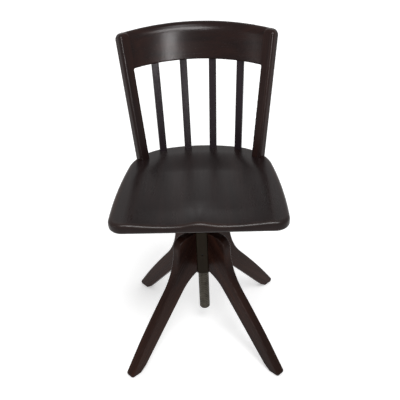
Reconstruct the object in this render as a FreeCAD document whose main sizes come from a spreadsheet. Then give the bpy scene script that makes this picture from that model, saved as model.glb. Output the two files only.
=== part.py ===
import FreeCAD, Part
import math
import os
import Sketcher
from FreeCAD import Placement, Rotation, Vector

# A wooden desk chair on four sawn legs. Its seat turns on a threaded iron post, and a wheel nut on
# the hub lifts and lowers that post. Lengths are in millimetres, angles in degrees. The origin lies
# on the floor under the middle of the whole chair, with +Z up and the sitter facing -Y.

SIZES = [
    ("stem_y", -22.2, "place of the turning axis along Y"),
    ("leg_reach", 289, "axis to the tip of a foot"),
    ("leg_top", 338, "floor to the top of the legs and hub"),
    ("leg_thick", 24.5, "thickness of the sawn leg boards"),
    ("leg_ease", 2, "bevel along the legs' edges"),
    ("foot_length", 39, "flat part of a foot"),
    ("foot_round", 8, "rounding of the foot's tip"),
    ("heel_run", 19, "bevel behind the foot, along"),
    ("heel_rise", 15, "bevel behind the foot, up"),
    ("neck_reach", 93, "axis to the outside of a leg's neck"),
    ("neck_curve", 182, "radius of the hollow below the neck"),
    ("shoulder_round", 27, "radius over the top of the neck"),
    ("shin_bow", 2500, "radius of the shin's slight bow"),
    ("calf_reach", 84, "axis to where the calf starts to arch"),
    ("calf_drop", 32, "calf's start below the arch's end at the hub"),
    ("arch_curve", 110, "radius of the arch under the hub"),
    ("arch_height", 214, "floor to where the arch meets the hub"),
    ("tongue_start", 19.5, "axis to the inner end of a leg's loose tongue"),
    ("tongue_length", 36, "length of a leg's loose tongue"),
    ("tongue_thick", 8, "thickness of a leg's loose tongue"),
    ("tongue_lift", 14, "tongues' lower end above the arch"),
    ("tongue_drop", 16, "tongues' upper end below the legs' top"),
    ("hub_flats", 63, "width of the hub across its flats"),
    ("hub_drop", 14, "hub's lower end below the arch"),
    ("hub_bevel", 10, "bevel round the hub's lower edge"),
    ("sleeve_wall", 3, "wall of the iron sleeve in the hub"),
    ("wood_fit", 0.1, "clearance of metal set into wood"),
    ("running_fit", 0.08, "radial clearance of turning and sliding fits"),
    ("thrust_gap", 0.3, "clearance along the axis between moving faces"),
    ("plate_radius", 30, "radius of the plate on the hub"),
    ("plate_thick", 4, "thickness of the plate on the hub"),
    ("key_drop", 69, "key pin below the hub's top"),
    ("key_radius", 3, "radius of the key pin"),
    ("key_sink", 2, "depth of the pin's end below the hub's face"),
    ("key_grip", 3.2, "reach of the pin into the post's keyway"),
    ("keyway_depth", 4, "depth of the keyway in the post"),
    ("keyway_play", 0.4, "clearance of the pin in the keyway"),
    ("screw_radius", 14.3, "radius of the threaded post"),
    ("screw_length", 342.2, "length of the post up to its spigot"),
    ("screw_tip", 4, "bevel of the post's lower end"),
    ("lift_up", 70, "travel of the seat above this height"),
    ("lift_down", 38, "travel of the seat below this height"),
    ("nut_neck", 20, "radius of the nut's foot"),
    ("nut_neck_rise", 8, "height of the nut's foot"),
    ("wheel_radius", 49, "radius of the nut's hand wheel"),
    ("wheel_thick", 11, "thickness of the nut's hand wheel"),
    ("wheel_bevel", 2, "bevel of the hand wheel's rim"),
    ("scallop_radius", 10, "radius of a finger hollow in the rim"),
    ("scallop_reach", 54, "axis to the centre of a finger hollow"),
    ("scallops", 8, "finger hollows in the rim"),
    ("nut_collar", 22, "radius of the nut's upper collar"),
    ("nut_collar_rise", 11, "height of the nut's upper collar"),
    ("spigot_radius", 9.5, "radius of the post's spigot"),
    ("spigot_length", 36, "length of the post's spigot"),
    ("washer_radius", 20, "radius of the thrust washer"),
    ("washer_thick", 2.5, "thickness of the thrust washer"),
    ("ring_radius", 14, "radius of the retaining ring"),
    ("ring_thick", 2, "thickness of the retaining ring"),
    ("ring_bite", 2, "depth of the ring's groove in the spigot"),
    ("ring_mouth", 6, "opening of the retaining ring"),
    ("boss_radius", 24, "radius of the spider's boss"),
    ("boss_height", 40, "height of the spider's boss"),
    ("cup_radius", 17.5, "radius of the cup above the boss's bore"),
    ("cup_depth", 15, "depth of the cup above the boss's bore"),
    ("arm_reach", 138, "axis to the end of a spider arm"),
    ("arm_root", 32, "width of a spider arm at the boss"),
    ("arm_tip", 24, "width of a spider arm at its end"),
    ("arm_thick", 6, "thickness of a spider arm"),
    ("rib_thick", 6, "thickness of the rib under an arm"),
    ("rib_depth", 22, "depth of the rib at the boss"),
    ("rib_reach", 116, "axis to the end of the rib"),
    ("rib_root", 1, "depth of the rib set into its arm"),
    ("seat_rise", 142, "top of the legs to the seat's rim at this height setting"),
    ("seat_thick", 26, "thickness of the seat at its rim"),
    ("seat_half_width", 205.3, "axis to the seat's side at the front"),
    ("seat_front", 206, "axis to the seat's front edge"),
    ("seat_back", 197, "axis to the seat's back edge"),
    ("front_corner", 34, "radius of the seat's front corners"),
    ("side_bow", 1500, "radius of the seat's sides in plan"),
    ("side_taper", 17.8, "how much the seat narrows to where its back corners start"),
    ("corner_start", 122, "seat's back edge to where its back corners start"),
    ("back_corner", 127.6, "radius of the seat's back corners"),
    ("back_bow", 338, "radius of the seat's back edge in plan"),
    ("corner_run", 82.5, "width of a back corner of the seat"),
    ("seat_round", 9, "rounding of the seat's lower edge"),
    ("rim_round", 6, "rounding of the seat's upper edge"),
    ("saddle_depth", 11, "depth of the saddle"),
    ("saddle_side_rim", 33.3, "flat rim beside the saddle"),
    ("saddle_narrowing", 34, "how much the saddle narrows at the back"),
    ("saddle_back_rim", 45, "flat rim behind the saddle"),
    ("saddle_climb", 90, "length of the rise at the saddle's back"),
    ("waist_reach", 237, "seat's back edge to where the saddle starts to narrow"),
    ("waist_length", 150, "length over which the saddle narrows"),
    ("pommel_width", 30, "half width of the ridge at the front"),
    ("pommel_reach", 166, "seat's front edge to where the ridge starts to rise"),
    ("pommel_length", 140, "length over which the ridge rises"),
    ("lip_reach", 86, "seat's front edge to where the saddle gets shallower"),
    ("lip_length", 85, "length over which the saddle gets shallower"),
    ("lip_share", 0.3, "share of the saddle's depth that is lost at the front"),
    ("saddle_steps", 12, "rows of heights that shape the saddle each way"),
    ("saddle_margin", 20, "reach of the saddle's surface past the seat"),
    ("rake_angle", 9.9, "backward lean of the back"),
    ("stile_inset", 49.8, "seat's side to a back post's front edge"),
    ("stile_set_in", 95.5, "seat's back edge to that edge of the post"),
    ("splay_angle", 5.9, "outward lean of the back posts"),
    ("stile_width", 27, "width of a back post's sides"),
    ("stile_angle", 40, "turn of a back post's inner face"),
    ("stile_socket", 18, "depth of a back post's socket in the seat"),
    ("stile_ease", 4, "rounding of a back post's edges"),
    ("back_height", 326, "seat's rim to the top of the crest rail at its middle"),
    ("crest_crown", 2500, "radius of the crest rail's upper edge"),
    ("crown_bevel", 15, "bevel of the back's upper corners"),
    ("crest_depth", 94, "crest rail's height at its middle"),
    ("crest_arch", 3000, "radius of the crest rail's lower edge"),
    ("crest_rise", 5, "rise of the lower edge at the middle"),
    ("crest_bow", 285, "radius of the crest rail's front face in plan"),
    ("crest_thick", 22, "thickness of the crest rail"),
    ("crest_set_back", 1.2, "crest rail's front face behind the back posts' inner corners"),
    ("tenon_reach", 21.9, "crest rail's tenons into the posts, along the rail"),
    ("tenon_inset", 6, "crest rail's tenons inside its faces"),
    ("tenon_shoulder", 15, "crest rail's tenons inside its edges"),
    ("crest_roll", 10, "rounding of the crest rail's top front edge"),
    ("crest_back_roll", 7, "rounding of the crest rail's top back edge"),
    ("slat_width", 19, "width of a back slat"),
    ("slat_thick", 10, "thickness of a back slat"),
    ("slat_tenon", 12, "depth of a slat's ends in their mortises"),
    ("slat_ease", 1.5, "bevel of a slat's edges"),
    ("inner_foot_x", 34, "axis to an inner slat's foot"),
    ("inner_foot_in", 24, "seat's back edge to that foot"),
    ("inner_head_x", 38, "axis to an inner slat's head"),
    ("inner_angle", 4, "turn of an inner slat"),
    ("outer_foot_x", 101.6, "axis to an outer slat's foot"),
    ("outer_foot_in", 32, "seat's back edge to that foot"),
    ("outer_head_x", 110, "axis to an outer slat's head"),
    ("outer_angle", 16, "turn of an outer slat"),
]


class Size:
    """A number together with the formula of sheet cells that gives it."""

    def __init__(self, value, formula):
        self.value = value
        self.formula = formula

    def joined(self, other, sign, value):
        return Size(value, f"({self.formula} {sign} {as_size(other).formula})")

    def __add__(self, other):
        return self.joined(other, "+", self.value + as_size(other).value)

    def __sub__(self, other):
        return self.joined(other, "-", self.value - as_size(other).value)

    def __mul__(self, other):
        return self.joined(other, "*", self.value * as_size(other).value)

    def __truediv__(self, other):
        return self.joined(other, "/", self.value / as_size(other).value)

    def __neg__(self):
        return Size(-self.value, f"(-1 * {self.formula})")


def as_size(number):
    """Give a plain number the same form as a size."""
    if isinstance(number, Size):
        return number
    return Size(float(number), repr(float(number)))


def sine(angle):
    return Size(math.sin(math.radians(angle.value)), f"sin({angle.formula})")


def cosine(angle):
    return Size(math.cos(math.radians(angle.value)), f"cos({angle.formula})")


def tangent(angle):
    return Size(math.tan(math.radians(angle.value)), f"tan({angle.formula})")


def root(size):
    return Size(math.sqrt(size.value), f"sqrt({size.formula})")


def sagitta(radius, x):
    """How far an arc has come forward at a distance from its middle."""
    return radius - root(radius * radius - x * x)


class SizeSheet:
    """The spreadsheet of driving sizes, each readable by its name."""

    def __init__(self, doc, rows):
        sheet = doc.addObject("Spreadsheet::Sheet", "Sizes")
        for line, (name, value, note) in enumerate(rows, start=1):
            sheet.set(f"A{line}", name)
            sheet.set(f"B{line}", str(value))
            sheet.setAlias(f"B{line}", name)
            sheet.set(f"C{line}", note)
            setattr(self, name, Size(float(value), f"Sizes.{name}"))


doc = FreeCAD.newDocument("SwivelChair")
s = SizeSheet(doc, SIZES)
doc.recompute()

EIGHTH_TURN = 45.0
LEG_TURNS = {
    "leg_rear_right": 1 * EIGHTH_TURN,
    "leg_rear_left": 3 * EIGHTH_TURN,
    "leg_front_left": 5 * EIGHTH_TURN,
    "leg_front_right": 7 * EIGHTH_TURN,
}
ARMS = 4
EDGE_SLACK = 0.5
OCTAGON_SHARE = math.tan(math.radians(EIGHTH_TURN / 2))

# Heights and radii that follow from the sizes above.
hub_half = s.hub_flats / 2
hub_bottom = s.arch_height - s.hub_drop
key_height = s.leg_top - s.key_drop
seat_top = s.leg_top + s.seat_rise
crest_top = seat_top + s.back_height
crest_bottom = crest_top - s.crest_depth
sleeve_bore = s.screw_radius + s.running_fit
sleeve_outside = sleeve_bore + s.sleeve_wall
plate_top = s.leg_top + s.plate_thick
nut_bottom = plate_top + s.thrust_gap
wheel_bottom = nut_bottom + s.nut_neck_rise
wheel_top = wheel_bottom + s.wheel_thick
seat_bottom = seat_top - s.seat_thick
boss_bottom = seat_bottom - s.boss_height
washer_top = boss_bottom - s.thrust_gap
shoulder = washer_top - s.washer_thick
cup_floor = seat_bottom - s.cup_depth
ring_bottom = cup_floor + s.thrust_gap

# Places on the seat that follow from its edges.
side_end_x = s.seat_half_width - s.side_taper
side_end_y = s.seat_back - s.corner_start
back_end_x = side_end_x - s.corner_run
stile_x = s.seat_half_width - s.stile_inset
stile_y = s.seat_back - s.stile_set_in

# The back posts lean back and outwards. The crest rail's front face meets their inner corners, so
# its place, and its own lean, follow from theirs.
rake = tangent(s.rake_angle)
splay = tangent(s.splay_angle)
slat_rise = crest_bottom - seat_top
joint_x = stile_x + splay * slat_rise - s.stile_width * cosine(s.stile_angle)
joint_y = stile_y + rake * slat_rise + s.stile_width * sine(s.stile_angle)
joint_depth = root(s.crest_bow * s.crest_bow - joint_x * joint_x)
crest_middle = joint_y + s.crest_set_back + s.crest_bow - joint_depth
crest_lean = rake + splay * joint_x / joint_depth
crest_half_width = joint_x + s.tenon_reach * joint_depth / s.crest_bow


def bind(thing, place, size):
    """Tie one property of an object to a formula of the sheet's cells."""
    thing.setExpression(place, as_size(size).formula)


def new_body(name, turn=0.0):
    """Start a body in the frame of the turning axis, turned about it."""
    body = doc.addObject("PartDesign::Body", name)
    body.Label = name
    body.Placement = Placement(Vector(0, s.stem_y.value, 0), Rotation(Vector(0, 0, 1), turn))
    bind(body, "Placement.Base.y", s.stem_y)
    return body


def new_sketch(body, plane, name, level=None):
    """Start a sketch on one of a body's own planes, moved along the plane's normal."""
    sketch = body.newObject("Sketcher::SketchObject", name)
    support = [item for item in body.Origin.OriginFeatures if item.Role == plane][0]
    sketch.AttachmentSupport = [(support, "")]
    sketch.MapMode = "FlatFace"
    if level is not None:
        bind(sketch, "AttachmentOffset.Base.z", level)
    return sketch


def hold(sketch, geometry, point, x, y):
    """Fix a point of a sketch at a place given by two sizes."""
    for kind, size in (("DistanceX", as_size(x)), ("DistanceY", as_size(y))):
        rule = Sketcher.Constraint(kind, -1, 1, geometry, point, size.value)
        index = sketch.addConstraint(rule)
        sketch.setExpression(f"Constraints[{index}]", size.formula)


def draw_circle(sketch, x, y, radius):
    """Draw a circle whose centre and radius are sizes."""
    centre = Vector(as_size(x).value, as_size(y).value, 0)
    circle = sketch.addGeometry(Part.Circle(centre, Vector(0, 0, 1), radius.value))
    index = sketch.addConstraint(Sketcher.Constraint("Radius", circle, radius.value))
    sketch.setExpression(f"Constraints[{index}]", radius.formula)
    hold(sketch, circle, 3, x, y)


def arc_between(first, last, radius, side):
    """Arc of a given radius between two points, its centre on the left (+1) or right (-1)."""
    chord = last - first
    reach = math.sqrt(radius ** 2 - (chord.Length / 2) ** 2)
    left = Vector(-chord.y, chord.x, 0).normalize()
    centre = (first + last) / 2 + left * (reach * side)
    start, end = (first, last) if side > 0 else (last, first)
    angles = [math.atan2(p.y - centre.y, p.x - centre.x) for p in (start, end)]
    return Part.ArcOfCircle(Part.Circle(centre, Vector(0, 0, 1), radius), *angles)


def draw_outline(sketch, corners):
    """Draw a closed outline. A corner is (x, y), or (x, y, radius, side) where the side that
    leaves it is an arc with its centre on the left (+1) or right (-1)."""
    points = [Vector(as_size(c[0]).value, as_size(c[1]).value, 0) for c in corners]
    ends = []
    for number, corner in enumerate(corners):
        first = points[number]
        last = points[(number + 1) % len(corners)]
        if len(corner) == 2:
            side = sketch.addGeometry(Part.LineSegment(first, last))
            ends.append((side, 1, 2))
            continue
        radius, hand = as_size(corner[2]), corner[3]
        side = sketch.addGeometry(arc_between(first, last, radius.value, hand))
        ends.append((side, 1, 2) if hand > 0 else (side, 2, 1))
        index = sketch.addConstraint(Sketcher.Constraint("Radius", side, radius.value))
        sketch.setExpression(f"Constraints[{index}]", radius.formula)
    for number, (side, first, last) in enumerate(ends):
        before = ends[number - 1]
        sketch.addConstraint(Sketcher.Constraint("Coincident", before[0], before[2], side, first))
        hold(sketch, side, first, corners[number][0], corners[number][1])


def pad(body, sketch, length, both_ways=False, lean=None):
    """Raise a sketch into a solid, straight up from it or along a leaning direction."""
    feature = body.newObject("PartDesign::Pad", sketch.Name + "_pad")
    feature.Profile = sketch
    feature.SideType = "Symmetric" if both_ways else "One side"
    bind(feature, "Length", length)
    if lean is not None:
        feature.UseCustomVector = True
        feature.AlongSketchNormal = True
        feature.Direction = Vector(lean[0].value, lean[1].value, 1)
        bind(feature, "Direction.x", lean[0])
        bind(feature, "Direction.y", lean[1])
    doc.recompute()
    return feature


def pocket(body, sketch, length=None, reverse=False):
    """Cut a sketch out of a solid, right through or to a depth."""
    before = body.Shape.Volume
    feature = body.newObject("PartDesign::Pocket", sketch.Name + "_cut")
    feature.Profile = sketch
    if length is None:
        feature.SideType = "Symmetric"
        feature.Type = "ThroughAll"
    else:
        feature.SideType = "One side"
        feature.Reversed = reverse
        bind(feature, "Length", length)
    doc.recompute()
    if not feature.Shape.Volume < before:
        raise RuntimeError(f"{feature.Name} cuts nothing")
    return feature


def spin(body, sketch):
    """Turn a sketch on the XZ plane about the Z axis into a solid."""
    feature = body.newObject("PartDesign::Revolution", sketch.Name + "_spin")
    feature.Profile = sketch
    feature.ReferenceAxis = (sketch, ["V_Axis"])
    feature.Angle = 360
    doc.recompute()
    return feature


def repeat_round(body, features, count):
    """Repeat features evenly about the Z axis."""
    pattern = body.newObject("PartDesign::PolarPattern", features[0].Name + "_round")
    pattern.Originals = features
    axis = [item for item in body.Origin.OriginFeatures if item.Role == "Z_Axis"][0]
    pattern.Axis = (axis, [""])
    pattern.Angle = 360
    bind(pattern, "Occurrences", count)
    body.Tip = pattern
    doc.recompute()
    return pattern


def soften(body, feature, radius, wanted, kind="Fillet"):
    """Round or bevel the edges of a feature that a test picks out."""
    names = [f"Edge{n}" for n, edge in enumerate(feature.Shape.Edges, start=1) if wanted(edge)]
    dress = body.newObject("PartDesign::" + kind, feature.Name + "_" + kind.lower())
    dress.Base = (feature, names)
    bind(dress, "Radius" if kind == "Fillet" else "Size", radius)
    doc.recompute()
    return dress


def near(number, size, slack=0.01):
    return abs(number - as_size(size).value) < slack


def flat_at(edge, axis, level):
    """Whether an edge lies wholly in the plane where an axis has a value."""
    box = edge.BoundBox
    low = getattr(box, axis.upper() + "Min")
    high = getattr(box, axis.upper() + "Max")
    return near(low, level, 0.02) and near(high, level, 0.02)


def cut_from(name, base, tools):
    """Cut other pieces' shapes out of a piece, which takes the given name."""
    base.Label = name + "_blank"
    if len(tools) == 1:
        tool = tools[0]
    else:
        tool = doc.addObject("Part::Compound", name + "_tools")
        tool.Links = tools
    piece = doc.addObject("Part::Cut", name)
    piece.Base = base
    piece.Tool = tool
    piece.Label = name
    doc.recompute()
    return piece


# The base: four legs, the hub that they are tied to by loose tongues, and the iron that lines it.

def shin_end():
    """Where the shin's bow runs smoothly into the hollow of the neck."""
    centre_x = s.neck_reach + s.neck_curve
    centre_z = s.leg_top - s.shoulder_round
    toe_x = s.leg_reach - centre_x
    span = root(toe_x * toe_x + centre_z * centre_z)
    between = s.neck_curve + s.shin_bow
    along = (between * between + span * span - s.shin_bow * s.shin_bow) / (span * 2)
    aside = root(between * between - along * along)
    share = s.neck_curve / (span * between)
    return (centre_x + share * (along * toe_x - aside * centre_z),
            centre_z - share * (along * centre_z + aside * toe_x))


def leg_blank(name, turn):
    """One leg, drawn in profile with its inner end on the hub's flat."""
    body = new_body(name, turn)
    neck_bottom = s.leg_top - s.shoulder_round
    shin_x, shin_z = shin_end()
    heel_x = s.leg_reach - s.foot_length
    corners = [
        (hub_half, s.leg_top),
        (hub_half, s.arch_height, s.arch_curve, -1),
        (s.calf_reach, s.arch_height - s.calf_drop),
        (heel_x - s.heel_run, s.heel_rise),
        (heel_x, 0),
        (s.leg_reach, 0, s.shin_bow, +1),
        (shin_x, shin_z, s.neck_curve, -1),
        (s.neck_reach, neck_bottom, s.shoulder_round, +1),
        (s.neck_reach - s.shoulder_round, s.leg_top),
    ]
    profile = new_sketch(body, "XZ_Plane", name + "_profile")
    draw_outline(profile, corners)
    board = pad(body, profile, s.leg_thick, both_ways=True)

    def at_tip(edge):
        return flat_at(edge, "x", s.leg_reach) and flat_at(edge, "z", 0)

    rounded = soften(body, board, s.foot_round, at_tip)
    side = s.leg_thick / 2

    def along_side(edge):
        on_side = flat_at(edge, "y", side) or flat_at(edge, "y", -side)
        return on_side and not flat_at(edge, "x", hub_half)

    soften(body, rounded, s.leg_ease, along_side, "Chamfer")
    return body


def leg_tongues():
    """The loose tongues that tie the legs to the hub."""
    thick = s.tongue_thick.value
    bottom = (s.arch_height + s.tongue_lift).value
    height = (s.leg_top - s.tongue_drop).value - bottom
    solids = []
    for turn in LEG_TURNS.values():
        tongue = Part.makeBox(s.tongue_length.value, thick, height,
                              Vector(s.tongue_start.value, -thick / 2, bottom))
        tongue.rotate(Vector(), Vector(0, 0, 1), turn)
        solids.append(tongue)
    return group_of("leg_tongues", solids)


def group_of(name, solids):
    """Separate solids that share one name, placed in the frame of the turning axis."""
    group = doc.addObject("Part::Feature", name)
    group.Label = name
    group.Shape = Part.makeCompound(solids)
    group.Placement = Placement(Vector(0, s.stem_y.value, 0), Rotation())
    bind(group, "Placement.Base.y", s.stem_y)
    return group


def hub_blank():
    """The eight-sided wooden hub, bored for its sleeve and for the key pin."""
    body = new_body("hub_octagon")
    half_side = hub_half * OCTAGON_SHARE
    corners = []
    for long_x, sign_x, sign_y in ((0, 1, -1), (1, 1, -1), (1, 1, 1), (0, 1, 1),
                                   (0, -1, 1), (1, -1, 1), (1, -1, -1), (0, -1, -1)):
        x, y = (hub_half, half_side) if long_x else (half_side, hub_half)
        corners.append((x * sign_x, y * sign_y))
    section = new_sketch(body, "XY_Plane", "hub_section", hub_bottom)
    draw_outline(section, corners)
    post = pad(body, section, s.leg_top - hub_bottom)
    soften(body, post, s.hub_bevel, lambda e: flat_at(e, "z", hub_bottom), "Chamfer")
    bore = new_sketch(body, "XY_Plane", "hub_bore", hub_bottom)
    draw_circle(bore, 0, 0, sleeve_outside + s.wood_fit)
    pocket(body, bore)
    key_hole(body)
    return body


def key_hole(body):
    """Bore the pin's hole from the turning axis out through the front."""
    sketch = new_sketch(body, "XZ_Plane", body.Name + "_key")
    draw_circle(sketch, 0, key_height, s.key_radius + s.wood_fit)
    pocket(body, sketch, s.hub_flats, reverse=True)


def tube(name, level, length, bore, outside):
    """A plain ring or tube about the turning axis."""
    body = new_body(name)
    section = new_sketch(body, "XY_Plane", name + "_section", level)
    draw_circle(section, 0, 0, outside)
    draw_circle(section, 0, 0, bore)
    pad(body, section, length)
    return body


def hub_sleeve():
    body = tube("hub_sleeve", hub_bottom, s.leg_top - hub_bottom, sleeve_bore, sleeve_outside)
    key_hole(body)
    return body


def hub_plate():
    """The iron plate on the hub that the wheel nut turns on."""
    return tube("hub_plate", s.leg_top, s.plate_thick, sleeve_bore, s.plate_radius)


def key_pin():
    """The pin that stops the post from turning with the nut."""
    body = new_body("key_pin")
    inner = s.screw_radius - s.key_grip
    section = new_sketch(body, "XZ_Plane", "pin_section", inner)
    draw_circle(section, 0, key_height, s.key_radius)
    pad(body, section, hub_half - s.key_sink - inner)
    return body


# The lifting gear: the keyed post and the wheel nut that carries it.

def lift_screw():
    """The post: a rod with a bevelled end below and a grooved spigot above."""
    body = new_body("lift_screw")
    bottom = shoulder - s.screw_length
    spigot_top = shoulder + s.spigot_length
    groove = s.spigot_radius - s.ring_bite
    groove_top = ring_bottom + s.ring_thick + s.thrust_gap
    corners = [
        (0, bottom),
        (s.screw_radius - s.screw_tip, bottom),
        (s.screw_radius, bottom + s.screw_tip),
        (s.screw_radius, shoulder),
        (s.spigot_radius, shoulder),
        (s.spigot_radius, ring_bottom),
        (groove, ring_bottom),
        (groove, groove_top),
        (s.spigot_radius, groove_top),
        (s.spigot_radius, spigot_top),
        (0, spigot_top),
    ]
    profile = new_sketch(body, "XZ_Plane", "post_profile")
    draw_outline(profile, corners)
    spin(body, profile)
    half = s.key_radius + s.keyway_play
    low = key_height - s.lift_up - half
    high = key_height + s.lift_down + half
    keyway = new_sketch(body, "XZ_Plane", "keyway", s.screw_radius - s.keyway_depth)
    draw_outline(keyway, [(-half, low), (half, low), (half, high), (-half, high)])
    pocket(body, keyway, s.keyway_depth * 2, reverse=True)
    return body


def height_nut():
    """The wheel nut: a foot, a scalloped hand wheel and a collar, bored for the post."""
    body = new_body("height_nut")
    bore = s.screw_radius + s.running_fit
    collar_top = wheel_top + s.nut_collar_rise
    corners = [
        (bore, nut_bottom),
        (s.nut_neck, nut_bottom),
        (s.nut_neck, wheel_bottom),
        (s.wheel_radius - s.wheel_bevel, wheel_bottom),
        (s.wheel_radius, wheel_bottom + s.wheel_bevel),
        (s.wheel_radius, wheel_top - s.wheel_bevel),
        (s.wheel_radius - s.wheel_bevel, wheel_top),
        (s.nut_collar + s.wheel_bevel, wheel_top),
        (s.nut_collar, wheel_top + s.wheel_bevel),
        (s.nut_collar, collar_top),
        (bore, collar_top),
    ]
    profile = new_sketch(body, "XZ_Plane", "nut_profile")
    draw_outline(profile, corners)
    spin(body, profile)
    hollow = new_sketch(body, "XY_Plane", "finger_hollow", wheel_bottom)
    draw_circle(hollow, s.scallop_reach, 0, s.scallop_radius)
    first = pocket(body, hollow)
    repeat_round(body, [first], s.scallops)
    return body


# The turning part: the spider on its washer, the ring that keeps it on, and the seat.

def retaining_ring():
    """The open spring ring in the spigot's groove."""
    inner = s.spigot_radius - s.ring_bite + s.wood_fit
    body = tube("retaining_ring", ring_bottom + s.wood_fit, s.ring_thick, inner, s.ring_radius)
    mouth = new_sketch(body, "XY_Plane", "ring_mouth", ring_bottom)
    half = s.ring_mouth / 2
    draw_outline(mouth, [(0, -half), (s.ring_radius * 2, -half), (s.ring_radius * 2, half), (0, half)])
    pocket(body, mouth)
    return body


def seat_spider():
    """The cast spider: a bored boss with four ribbed arms that are screwed to the seat."""
    body = new_body("seat_spider", EIGHTH_TURN)
    arm_bottom = seat_bottom - s.arm_thick
    boss = new_sketch(body, "XY_Plane", "boss_section", boss_bottom)
    draw_circle(boss, 0, 0, s.boss_radius)
    pad(body, boss, s.boss_height)
    arm = new_sketch(body, "XY_Plane", "arm_section", arm_bottom)
    root_half = s.arm_root / 2
    tip_half = s.arm_tip / 2
    draw_outline(arm, [
        (0, -root_half),
        (s.arm_reach, -tip_half),
        (s.arm_reach, tip_half),
        (0, root_half),
    ])
    arm_pad = pad(body, arm, s.arm_thick)
    rib = new_sketch(body, "XZ_Plane", "rib_section")
    rib_bottom = arm_bottom - s.rib_depth
    rib_top = arm_bottom + s.rib_root
    draw_outline(rib, [(0, rib_bottom), (s.boss_radius, rib_bottom), (s.rib_reach, arm_bottom),
                       (s.rib_reach, rib_top), (0, rib_top)])
    rib_pad = pad(body, rib, s.rib_thick, both_ways=True)
    repeat_round(body, [arm_pad, rib_pad], as_size(ARMS))
    bore = new_sketch(body, "XY_Plane", "boss_bore", boss_bottom)
    draw_circle(bore, 0, 0, s.spigot_radius + s.running_fit)
    pocket(body, bore)
    cup = new_sketch(body, "XY_Plane", "boss_cup", cup_floor)
    draw_circle(cup, 0, 0, s.cup_radius)
    pocket(body, cup, s.cup_depth * 2, reverse=True)
    return body


def seat_board():
    """The seat's board in plan, before its saddle is cut."""
    body = new_body("seat_board")
    corner_x = s.seat_half_width - s.front_corner
    corner_y = -(s.seat_front - s.front_corner)
    back_y = s.seat_back - sagitta(s.back_bow, back_end_x)
    plan = new_sketch(body, "XY_Plane", "seat_plan", seat_bottom)
    draw_outline(plan, [
        (-corner_x, -s.seat_front),
        (corner_x, -s.seat_front, s.front_corner, +1),
        (s.seat_half_width, corner_y, s.side_bow, +1),
        (side_end_x, side_end_y, s.back_corner, +1),
        (back_end_x, back_y, s.back_bow, +1),
        (-back_end_x, back_y, s.back_corner, +1),
        (-side_end_x, side_end_y, s.side_bow, +1),
        (-s.seat_half_width, corner_y, s.front_corner, +1),
    ])
    board = pad(body, plan, s.seat_thick * 1.5)
    soften(body, board, s.seat_round, lambda e: flat_at(e, "z", seat_bottom))
    return body


def eased(share):
    """A smooth step from 0 to 1."""
    share = min(1.0, max(0.0, share))
    return share * share * (3 - 2 * share)


def saddle_level(x, y):
    """Height of the saddled seat above a point, in the frame of the turning axis."""
    from_front = y + s.seat_front.value
    from_back = s.seat_back.value - y
    waist = eased((s.waist_reach.value - from_back) / s.waist_length.value)
    narrowed = s.saddle_side_rim.value + s.saddle_narrowing.value * waist ** 2
    aside = min(1.0, abs(x) / (s.seat_half_width.value - narrowed))
    bowl = (1 - aside ** 4) ** 2
    inside = from_back - s.saddle_back_rim.value - x * x / (2 * s.back_bow.value)
    climb = 1 - eased(1 - min(1.0, max(0.0, inside / s.saddle_climb.value)))
    ridge = math.exp(-(x / s.pommel_width.value) ** 2)
    ridge = ridge * eased((s.pommel_reach.value - from_front) / s.pommel_length.value)
    front = 1 - s.lip_share.value * eased((s.lip_reach.value - from_front) / s.lip_length.value)
    return seat_top.value - s.saddle_depth.value * bowl * climb * front * (1 - ridge)


def saddle_cutter():
    """The space above the saddled surface, which is a smooth sheet through a grid of heights."""
    side = (s.seat_half_width + s.saddle_margin).value
    front = (s.seat_front + s.saddle_margin).value
    back = (s.seat_back + s.saddle_margin).value
    shares = [step / s.saddle_steps.value for step in range(round(s.saddle_steps.value) + 1)]
    across = [side * (2 * share - 1) for share in shares]
    along = [(front + back) * share - front for share in shares]
    sheet = Part.BSplineSurface()
    sheet.interpolate([[Vector(x, y, saddle_level(x, y)) for y in along] for x in across])
    space = sheet.toShape().extrude(Vector(0, 0, s.seat_thick.value * 2))
    return group_of("saddle_cutter", [space])


def crown_cut(body, name):
    """Trim a body to the shallow crown along the top of the back and its bevelled corners."""
    side = stile_x + splay * (crest_top - seat_top) + s.stile_width * sine(s.stile_angle)
    turn = side - s.crown_bevel
    end = crest_top - sagitta(s.crest_crown, turn)
    reach = s.crown_bevel + s.stile_width
    outline = new_sketch(body, "XZ_Plane", name)
    draw_outline(outline, [
        (-turn, end, s.crest_crown, -1),
        (turn, end),
        (turn + reach, end - reach),
        (turn + reach, end + reach),
        (-turn - reach, end + reach),
        (-turn - reach, end - reach),
    ])
    return pocket(body, outline)


def stile_stick(name, hand):
    """A square stick, turned so that an edge faces forward, with a back post's lean and splay."""
    body = new_body(name)
    level = seat_top - s.stile_socket
    edge_x = (stile_x - splay * s.stile_socket) * hand
    edge_y = stile_y - rake * s.stile_socket
    outer = (s.stile_width * sine(s.stile_angle) * hand, s.stile_width * cosine(s.stile_angle))
    inner = (s.stile_width * cosine(s.stile_angle) * -hand, s.stile_width * sine(s.stile_angle))
    section = new_sketch(body, "XY_Plane", name + "_section", level)
    draw_outline(section, [
        (edge_x, edge_y),
        (edge_x + outer[0], edge_y + outer[1]),
        (edge_x + outer[0] + inner[0], edge_y + outer[1] + inner[1]),
        (edge_x + inner[0], edge_y + inner[1]),
    ])
    pad(body, section, crest_top - level, lean=(splay * hand, rake))
    return body


def stile_post(name, hand):
    """A back post: its stick with the crown cut and all but its foot's edges rounded."""
    body = stile_stick(name, hand)
    post = crown_cut(body, name + "_crown")
    foot = seat_top - s.stile_socket
    soften(body, post, s.stile_ease, lambda e: not flat_at(e, "z", foot))
    return body


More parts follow.
